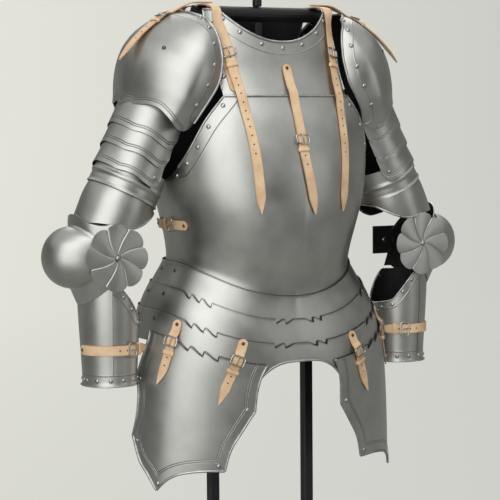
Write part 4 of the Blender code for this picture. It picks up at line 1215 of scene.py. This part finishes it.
# vambraces
def makeVambrace(f):
    def outer(angle, z, lift=0.0):
        return forearmPoint(angle, z, lift)

    def inner(angle, v, lift=0.0):
        top = innerTopAt(abs((angle + 180) % 360 - 180))
        return forearmPoint(angle, f["cuff"] + (top - f["cuff"]) * v, lift - body["layer"])

    core = Vector((arm["forearmX"], arm["elbow"].y, 0.9))
    cuffLine = [forearmPoint(angle, f["cuff"]) for angle in steps(500, 0, 360)]
    seam = f["seam"]
    seams = [(s, z) for s in (-seam, seam) for z in steps(300, f["cuff"], f["top"])]
    heights = steps(54, f["cuff"], f["top"])
    plate = bentSheet("vambrace_outer_plate_L", outer, steps(50, -seam, seam), heights, core,
                      band=((cuffLine, f["band"]), (edgeOf(outer, seams), f["seamLine"])))
    settlePair(plate, "forearm", "plate_steel", "vambrace_outer")
    first, last = seam - seam / 6, 360 - seam + seam / 6
    rim = edgeOf(inner, [(angle, 1.0) for angle in steps(500, 84, 276)])
    plate = bentSheet("vambrace_inner_plate_L", inner, steps(90, first, last), steps(50), core,
                      band=((cuffLine, f["band"]), (rim, f["innerBand"])))
    settlePair(plate, "forearm", "plate_steel", "vambrace_inner")
    rivets, edges = bmesh.new(), bmesh.new()
    spots = []  # angle, height, lift
    for angle in range(8, 360, 29):
        spots.append((angle, f["cuff"] + 0.0095, 0 if angle < seam or angle > 360 - seam else -body["layer"]))
    for angle in (93, 112, 134, 160, 200, 226, 248, 267):
        spots.append((angle, innerTopAt(min(angle, 360 - angle)) - 0.0085, -body["layer"]))
    for angle, z, lift in spots:
        point = forearmPoint(angle, z, lift)
        addRivet(rivets, point, (point - Vector((core.x, core.y, z))).normalized(), 0.0036, 0.0022)
    settlePair(linkMesh("vambrace_rivets_L", rivets, [rivetSteel]), "forearm", "plate_steel")
    innerRun = steps(90, seam + 2, 358 - seam)
    turned = (
        ([forearmPoint(angle, f["cuff"] + 0.0004) for angle in steps(60, -seam, seam)], 0.0013),
        ([forearmPoint(angle, f["cuff"] + 0.0004, -body["layer"]) for angle in innerRun], 0.0013),
        ([inner(angle, 1.0) for angle in steps(110, 84, 276)], 0.0014),
    )
    for points, radius in turned:
        normals = [(p - Vector((core.x, core.y, p.z))).normalized() for p in points]
        addRope(edges, points, normals, radius, plain=True)
    settlePair(linkMesh("vambrace_turned_edges_L", edges, [ropeSteel], 60), "forearm", "plate_steel")


makeVambrace(forearm)
print("vambraces made")

# straps; a strap's line runs along its underside
strap = {
    "half": 0.0083,
    "thick": 0.0022,
    "crown": 0.0003,
    "tip": 0.026,
    "hole": 0.0014,
    "lanes": (-1, -0.93, -0.84, -0.6, -0.3, 0, 0.3, 0.6, 0.84, 0.93, 1),
    "buckleLong": 0.0078,
    "buckleSide": 0.0032,
    "buckleWire": 0.0013,
    "keeperLong": 0.0062,
    "keeperProfile": (
        (-0.5, 0), (-0.5, 0.7), (-0.42, 1), (0.42, 1), (0.5, 0.7), (0.5, 0), (0.42, -0.2), (-0.42, -0.2),
        (-0.5, 0),
    ),
}


def addBand(bm, line, half, thick, tip=0.0, rounded=False):
    # a flat strap along a line, pointed at its end and rounded at its start
    reach = travelled(line)
    edge = bm.verts.layers.float.get("strapEdge") or bm.verts.layers.float.new("strapEdge")
    lanes = strap["lanes"]
    around, last = len(lanes) * 2, len(line) - 1
    made = bmesh.ops.create_grid(bm, x_segments=last, y_segments=around, size=0.5)["verts"]
    for vert in made:
        i = round((vert.co.x + 0.5) * last)
        k = round((vert.co.y + 0.5) * around) % around
        upper = k < len(lanes)
        lane = lanes[k] if upper else lanes[around - 1 - k]
        run, across, out = frameAt(line, i)
        width = half
        if tip and reach[-1] - reach[i] < tip:
            width = half * max(0.05, (reach[-1] - reach[i]) / tip) ** 0.72
        if rounded and reach[i] < half:
            width = half * math.sqrt(max(0.02, 1 - (1 - reach[i] / half) ** 2))
        soft = strap["crown"] if abs(lane) > 0.95 else 0.0
        vert.co = line[i][0] + across * width * lane + out * (thick - soft if upper else soft)
        vert[edge] = abs(lane)
    closeSkin(bm, made)
def stationAt(line, distance):
    reach = travelled(line)
    return next((i for i in range(len(line) - 1) if reach[i + 1] >= distance), len(line) - 1)


def addBuckle(bm, line, distance, half, thick):
    # rounded wire frame with a tongue, its bar across the strap
    i = stationAt(line, distance)
    run, across, out = frameAt(line, i)
    centre = line[i][0] + out * (thick + 0.0012)
    wide, long = half + strap["buckleSide"], strap["buckleLong"]
    loop, tongue = [], []
    for t in steps(31, 0, 2 * math.pi * 31 / 32):
        x, y = power(math.cos(t), 0.42) * wide, power(math.sin(t), 0.42) * long
        loop.append((centre + across * x + run * y + out * 0.0006 * y / long, out))
    addTube(bm, loop, lambda s, turn: strap["buckleWire"], 8, closed=True)
    for t in steps(12):
        arch = 0.0012 * math.sin(math.pi * t) + 0.0004
        tongue.append((centre - run * long * (1 - 2.12 * t) + out * arch, out))
    addTube(bm, tongue, lambda s, turn: 0.0010 * (1 - 0.3 * s / 0.016), 7)


def addKeeper(bm, line, distance, half, thick):
    # a leather loop round the strap
    i = stationAt(line, distance)
    run, across, out = frameAt(line, i)
    centre = line[i][0] + out * (thick * 0.5 + 0.0004)
    profile = strap["keeperProfile"]
    around, last = 32, len(profile) - 1
    made = bmesh.ops.create_grid(bm, x_segments=around, y_segments=last, size=0.5)["verts"]
    edge = bm.verts.layers.float.get("strapEdge")
    for vert in made:
        turn = 2 * math.pi * round((vert.co.x + 0.5) * around) / around
        shareAlong, shareOut = profile[round((vert.co.y + 0.5) * last)]
        grow = 0.0004 + 0.0013 * shareOut
        x = power(math.cos(turn), 0.3) * (half + grow)
        y = power(math.sin(turn), 0.45) * (thick * 0.5 + 0.0005 + grow)
        y = max(y, -thick * 0.5 - 0.001)
        vert.co = centre + across * x + out * y + run * strap["keeperLong"] * shareAlong
        vert[edge] = 0.5
    closeSkin(bm, made, capped=False)


def addHole(bm, line, distance, thick, material=1):
    # the hole is a raised dark disc of painted shade, not an opening
    i = stationAt(line, distance)
    run, across, out = frameAt(line, i)
    axes = Matrix((across, run, out)).transposed()
    place = Matrix.Translation(line[i][0] + out * (thick + 0.00006)) @ axes.to_4x4()
    made = bmesh.ops.create_circle(bm, cap_ends=True, segments=12, radius=strap["hole"], matrix=place)
    made = made["verts"]
    faces = list({face for vert in made for face in vert.link_faces})
    bmesh.ops.inset_region(bm, faces=faces, thickness=0.00025, depth=-0.00003)
    bm.normal_update()
    for face in {face for vert in made if vert.is_valid for face in vert.link_faces} | set(faces):
        face.material_index = material
        if face.normal.dot(out) < 0:
            face.normal_flip()

def makeStrap(name, line, parts, bodyName, nodes, both=True, extra=()):
    # parts: buckle, keeper, rivet and holes as distances along the strap
    leather, fittings = bmesh.new(), bmesh.new()
    half, thick = strap["half"], strap["thick"]
    tip = strap["tip"] if parts.get("pointed", True) else 0
    addBand(leather, line, half, thick, tip, parts.get("rounded", False))
    for other in extra:
        addBand(leather, other, half * 0.98, 0.0018, 0, True)
    for distance in parts.get("keepers", ()):
        addKeeper(leather, line, distance, half, thick)
    for distance in parts.get("buckles", ()):
        addBuckle(fittings, line, distance, half, thick)
    for distance in parts.get("holes", ()):
        addHole(fittings, line, distance, thick)
    for distance in parts.get("rivets", ()):
        i = stationAt(line, distance)
        run, across, out = frameAt(line, i)
        addRivet(fittings, line[i][0] + out * thick, out, 0.0031, 0.0019, 2)
    place, tail = (settlePair, "_L") if both else (settle, "")
    place(linkMesh(f"{name}_leather{tail}", leather, [paleLeather], 50), bodyName, "strap_leather", *nodes)
    metals = [buckleSteel, punchedHole, darkRivet]
    place(linkMesh(f"{name}_fittings{tail}", fittings, metals), bodyName, "plate_steel")


def onBody(z, x, under):
    angle = angleAt(x, z)
    out = outward(angle, z)
    return torsoSkin(angle, z) + out * under, out


chestStrap = {
    "back": ((1.395, 140.0, 0.0009), (1.425, 137.0, 0.0009), (1.444, 135.0, 0.0033)),
    "overBar": (
        (0.1045, 0.0990, 1.4530), (0.1050, 0.0910, 1.4560), (0.1060, 0.0780, 1.4563),
        (0.1075, 0.0500, 1.4553), (0.1080, 0.0220, 1.4553), (0.1080, -0.0060, 1.4547),
        (0.1075, -0.0290, 1.4480),
    ),
    "front": (  # height, distance from the middle, height of the underside
        (1.425, 0.1055, 0.0012), (1.396, 0.1000, 0.0014), (1.381, 0.0982, 0.0022), (1.363, 0.0965, 0.0026),
        (1.344, 0.0952, 0.0028), (1.316, 0.0930, 0.0036), (1.297, 0.0918, 0.0036), (1.282, 0.0908, 0.0014),
        (1.250, 0.0880, 0.0009), (1.215, 0.0852, 0.0009), (1.180, 0.0822, 0.0009), (1.142, 0.0790, 0.0012),
        (1.113, 0.0765, 0.0020),
    ),
    "chape": (
        (1.376, 0.1035, 0.0003), (1.352, 0.1010, 0.0003), (1.330, 0.0992, 0.0003), (1.311, 0.0978, 0.0003),
    ),
    "hanging": 0.275,  # from the buckle to the end
}


def makeChestStrap(c):
    keys = [(torso(angle, z, under), outward(angle, z)) for z, angle, under in c["back"]]
    for x, y, z in c["overBar"]:
        keys.append((Vector((x, y, z - 0.0011)), Vector((0, y - 0.022, 0.05)).normalized()))
    keys += [onBody(z, x, under) for z, x, under in c["front"]]
    line = smoothLine(keys)
    start = travelled(line)[-1] - c["hanging"]
    chape = smoothLine([onBody(z, x, under - body["layer"]) for z, x, under in reversed(c["chape"])])
    holes = [start + 0.010] + [start + 0.0475 + 0.0145 * k for k in range(10)]
    parts = {"buckles": (start + 0.0005,), "keepers": (start + 0.0225,), "holes": holes}
    makeStrap("chest_strap", line, parts, "suit_and_stand", ("chest_strap",), extra=(chape,))


makeChestStrap(chestStrap)

centreStrap = {
    "route": (
        (1.356, 0.0, -0.0016), (1.347, 0.0, -0.0013), (1.320, 0.0, 0.0009), (1.311, 0.0, 0.0033),
        (1.296, 0.0, 0.0033), (1.280, 0.0, 0.0012), (1.255, 0.0, 0.0009), (1.230, 0.0, 0.0009),
        (1.214, 0.0, 0.0009), (1.204, 0.0010, 0.0012), (1.175, 0.0050, 0.0022), (1.138, 0.0110, 0.0020),
        (1.110, 0.0155, 0.0026),
    ),
    "parts": {"buckles": (0.136,), "keepers": (0.153,), "rivets": (0.0085,), "rounded": True,
              "holes": (0.143, 0.164, 0.178)},
}


def makeCentreStrap(c):
    line = smoothLine([onBody(z, x, under) for z, x, under in c["route"]])
    makeStrap("centre_strap", line, c["parts"], "suit_and_stand", ("centre_strap",), both=False)

makeCentreStrap(centreStrap)

sideStrap = {"z": 1.092, "angles": (71.6, 73.5, 78, 84, 89, 94, 100, 106, 110.4)}


def makeSideStrap(s):
    line = smoothLine([(torso(a, s["z"], 0.0013), outward(a, s["z"])) for a in s["angles"]])
    length = travelled(line)[-1]
    parts = {"pointed": False, "rounded": True, "buckles": (length * 0.42,), "keepers": (length * 0.58,),
             "rivets": (0.0085, length - 0.0085), "holes": (length * 0.7,)}
    makeStrap("side_strap", line, parts, "suit_and_stand", ("side_strap",))


makeSideStrap(sideStrap)

tassetStrap = {
    "shape": (  # distance down, height of the underside
        (0.000, 0.0072), (0.010, 0.0074), (0.020, 0.0086), (0.027, 0.0124), (0.038, 0.0126), (0.048, 0.0104),
        (0.058, 0.0102), (0.080, 0.0103), (0.104, 0.0112),
    ),
    "routes": (("outer", 0.184, 0.213, 0.938), ("inner", 0.100, 0.140, 0.908)),
    "parts": {"buckles": (0.0385,), "keepers": (0.058,), "rivets": (0.0088,), "rounded": True,
              "holes": (0.0465, 0.067, 0.0795)},
}


def makeTassetStraps(t):
    for name, topX, tipX, topZ in t["routes"]:
        keys = []
        for down, under in t["shape"]:
            x = topX + (tipX - topX) * down / t["shape"][-1][0]
            keys.append(onBody(topZ - down, x, under))
        line = smoothLine(keys, 0.002)
        makeStrap(f"tasset_strap_{name}", line, t["parts"], "suit_and_stand", (f"tasset_strap_{name}",))


makeTassetStraps(tassetStrap)

pauldronStrap = {
    "inboard": (
        (0.0990, 0.0060, 1.4577), (0.1180, 0.0065, 1.4577), (0.1340, 0.0080, 1.4564),
        (0.1480, 0.0095, 1.4514),
    ),
    "along": (  # along the arm, height of the underside
        (0.0890, 0.0015), (0.0772, 0.0015), (0.0700, 0.0015), (0.0640, 0.0015), (0.0565, 0.0015),
        (0.0370, 0.0035), (0.0150, 0.0075), (-0.0070, 0.0145), (-0.0245, 0.0220),
    ),
    "round": 0.10,
    "holes": (0.103, 0.075, 0.061, 0.047),
}


def makePauldronStrap(p):
    keys = [(Vector(point), Vector((0, 0, 1))) for point in p["inboard"]]
    for along, under in p["along"]:
        foot = pauldronPoint(p["round"], along)
        out = (pauldronPoint(p["round"], along, 0.01) - foot).normalized()
        keys.append((foot + out * under, out))
    line = smoothLine(keys)
    length = travelled(line)[-1]
    parts = {"buckles": (length - 0.111,), "keepers": (length - 0.094,),
             "holes": [length - hole for hole in p["holes"]]}
    makeStrap("pauldron_strap", line, parts, "suit_and_stand", ("pauldron_strap",))


makePauldronStrap(pauldronStrap)

vambraceStrap = {
    "z": 0.894,
    "stops": (  # angle round the forearm, height of the underside
        (-3, 0.0), (4, 0.0), (16, 0.0), (32, 0.0), (50, 0.0), (66, 0.0), (82, 0.0), (100, 0.0), (116, 0.0),
        (130, 0.0004), (142, 0.002), (153, 0.005), (165, 0.010),
    ),
    "tipEnd": 0.051,
}


def makeVambraceStrap(v):
    keys = []
    for angle, under in v["stops"]:
        point = forearmPoint(angle, v["z"], 0.0012 + under)
        keys.append((point, (point - Vector((arm["forearmX"], arm["elbow"].y, v["z"]))).normalized()))
    line = smoothLine(keys)
    buckle = travelled(line)[-1] - v["tipEnd"]
    parts = {"buckles": (buckle,), "keepers": (buckle + 0.0165,), "rivets": (0.0085,), "rounded": True,
             "holes": (buckle - 0.011, buckle - 0.023, buckle + 0.0085)}
    makeStrap("vambrace_strap", line, parts, "forearm", ("vambrace_strap",))


makeVambraceStrap(vambraceStrap)
print("straps made")

# stand, floor and light
for name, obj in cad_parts.items():
    if name.startswith("stand_"):
        obj.data.materials.clear()
        obj.data.materials.append(blackPaint)

studio = {
    "floor": (0.60, 0.60, 0.575),
    "radius": 11.0,
    "corner": 2.0,
    "wall": 7.0,
    "lamps": (  # azimuth, elevation, distance, width, height, watts
        (-46.0, 14.0, 3.5, 3.4, 4.2, 84.0),
        (-8.0, 60.0, 4.0, 2.4, 2.4, 34.0),
        (34.0, 6.0, 3.6, 0.9, 2.2, 9.0),
        (150.0, 40.0, 4.0, 2.4, 2.4, 40.0),
    ),
    "world": 0.62,
    "backRange": (-3.0, 6.0),
    "ceiling": (2.3, 4.5),
    "dimWall": (0.23, 0.23, 0.22),
    "rearward": 0.112,
    "sideways": 0.145,
    # range and colours of the backdrop's painted glow, seen only by the camera
    "paintedGlowRange": (-0.30, 0.62),
    "paintedGlowDark": (0.55, 0.555, 0.525),
    "paintedGlowLight": (0.755, 0.755, 0.685),
}


def slopeNode(tree, split, alongY, alongX):
    y = mathNode(tree, "MULTIPLY", split.outputs["Y"], alongY)
    return mathNode(tree, "SUBTRACT", y, mathNode(tree, "MULTIPLY", split.outputs["X"], alongX))


def makeStudio(s):
    material, tree, shader = newMaterial("paleBackdrop")
    split = tree.nodes.new("ShaderNodeSeparateXYZ")
    tree.links.new(objectPlace(tree), split.inputs["Vector"])
    # what the lamps and the steel meet is darker than what the camera meets: a bright back, a dim front and top;
    # to the camera the backdrop is black and glows with a gradient of painted light
    share = rangeNode(tree, slopeNode(tree, split, 0.85, -0.5), *s["backRange"], 0.0, 1.0, True)
    high = rangeNode(tree, split.outputs["Z"], *s["ceiling"], 0.0, 1.0, True)
    walls = mixColours(tree, high, mixColours(tree, share, s["dimWall"], s["floor"]), s["dimWall"])
    # painted light: the backdrop emits this gradient for camera rays, though it is no lamp
    slope = slopeNode(tree, split, s["rearward"], s["sideways"])
    paintedGlow = mixColours(tree, rangeNode(tree, slope, *s["paintedGlowRange"], 0.0, 1.0), s["paintedGlowDark"], s["paintedGlowLight"])
    toCamera = tree.nodes.new("ShaderNodeLightPath").outputs["Is Camera Ray"]
    tree.links.new(mixColours(tree, toCamera, walls, (0, 0, 0)), shader.inputs["Base Color"])
    tree.links.new(paintedGlow, shader.inputs["Emission Color"])
    tree.links.new(toCamera, shader.inputs["Emission Strength"])
    shader.inputs["Roughness"].default_value = 0.95
    bm = bmesh.new()
    inner = s["radius"] - s["corner"]
    outline = [(0.0001, -0.0002), (inner, -0.0002)]
    for t in steps(8, -90, 0):
        turn = math.radians(t)
        outline.append((inner + s["corner"] * math.cos(turn), s["corner"] * (1 + math.sin(turn)) - 0.0002))
    profile = [bm.verts.new((x, 0, z)) for x, z in outline + [(s["radius"], s["wall"])]]
    edges = [bm.edges.new(pair) for pair in zip(profile, profile[1:])]
    bmesh.ops.spin(bm, geom=profile + edges, cent=(0, 0, 0), axis=(0, 0, 1), angle=2 * math.pi, steps=64,
                   use_merge=True)
    bmesh.ops.remove_doubles(bm, verts=bm.verts, dist=0.001)
    bmesh.ops.recalc_face_normals(bm, faces=bm.faces)
    linkMesh("backdrop", bm, [material])
    world = bpy.data.worlds.new("studioWorld")
    world.use_nodes = True
    bpy.context.scene.world = world
    world.node_tree.nodes["Background"].inputs["Color"].default_value = (1, 1, 1, 1)
    world.node_tree.nodes["Background"].inputs["Strength"].default_value = s["world"]
    for k, (azimuth, elevation, distance, width, height, watts) in enumerate(s["lamps"]):
        a, e = math.radians(azimuth), math.radians(elevation)
        away = Vector((math.sin(a) * math.cos(e), -math.cos(a) * math.cos(e), math.sin(e)))
        data = bpy.data.lights.new(f"softbox_{k}", "AREA")
        data.shape = "RECTANGLE"
        data.size, data.size_y, data.energy = width, height, watts
        lamp = bpy.data.objects.new(f"softbox_{k}", data)
        lamp.location = Vector((0, 0, 1.1)) + away * distance
        lamp.rotation_mode = "QUATERNION"
        lamp.rotation_quaternion = away.to_track_quat("Z", "Y")
        lamp.visible_camera = False
        bpy.context.scene.collection.objects.link(lamp)


makeStudio(studio)
bpy.context.scene.view_settings.view_transform = "Standard"
print("studio made")
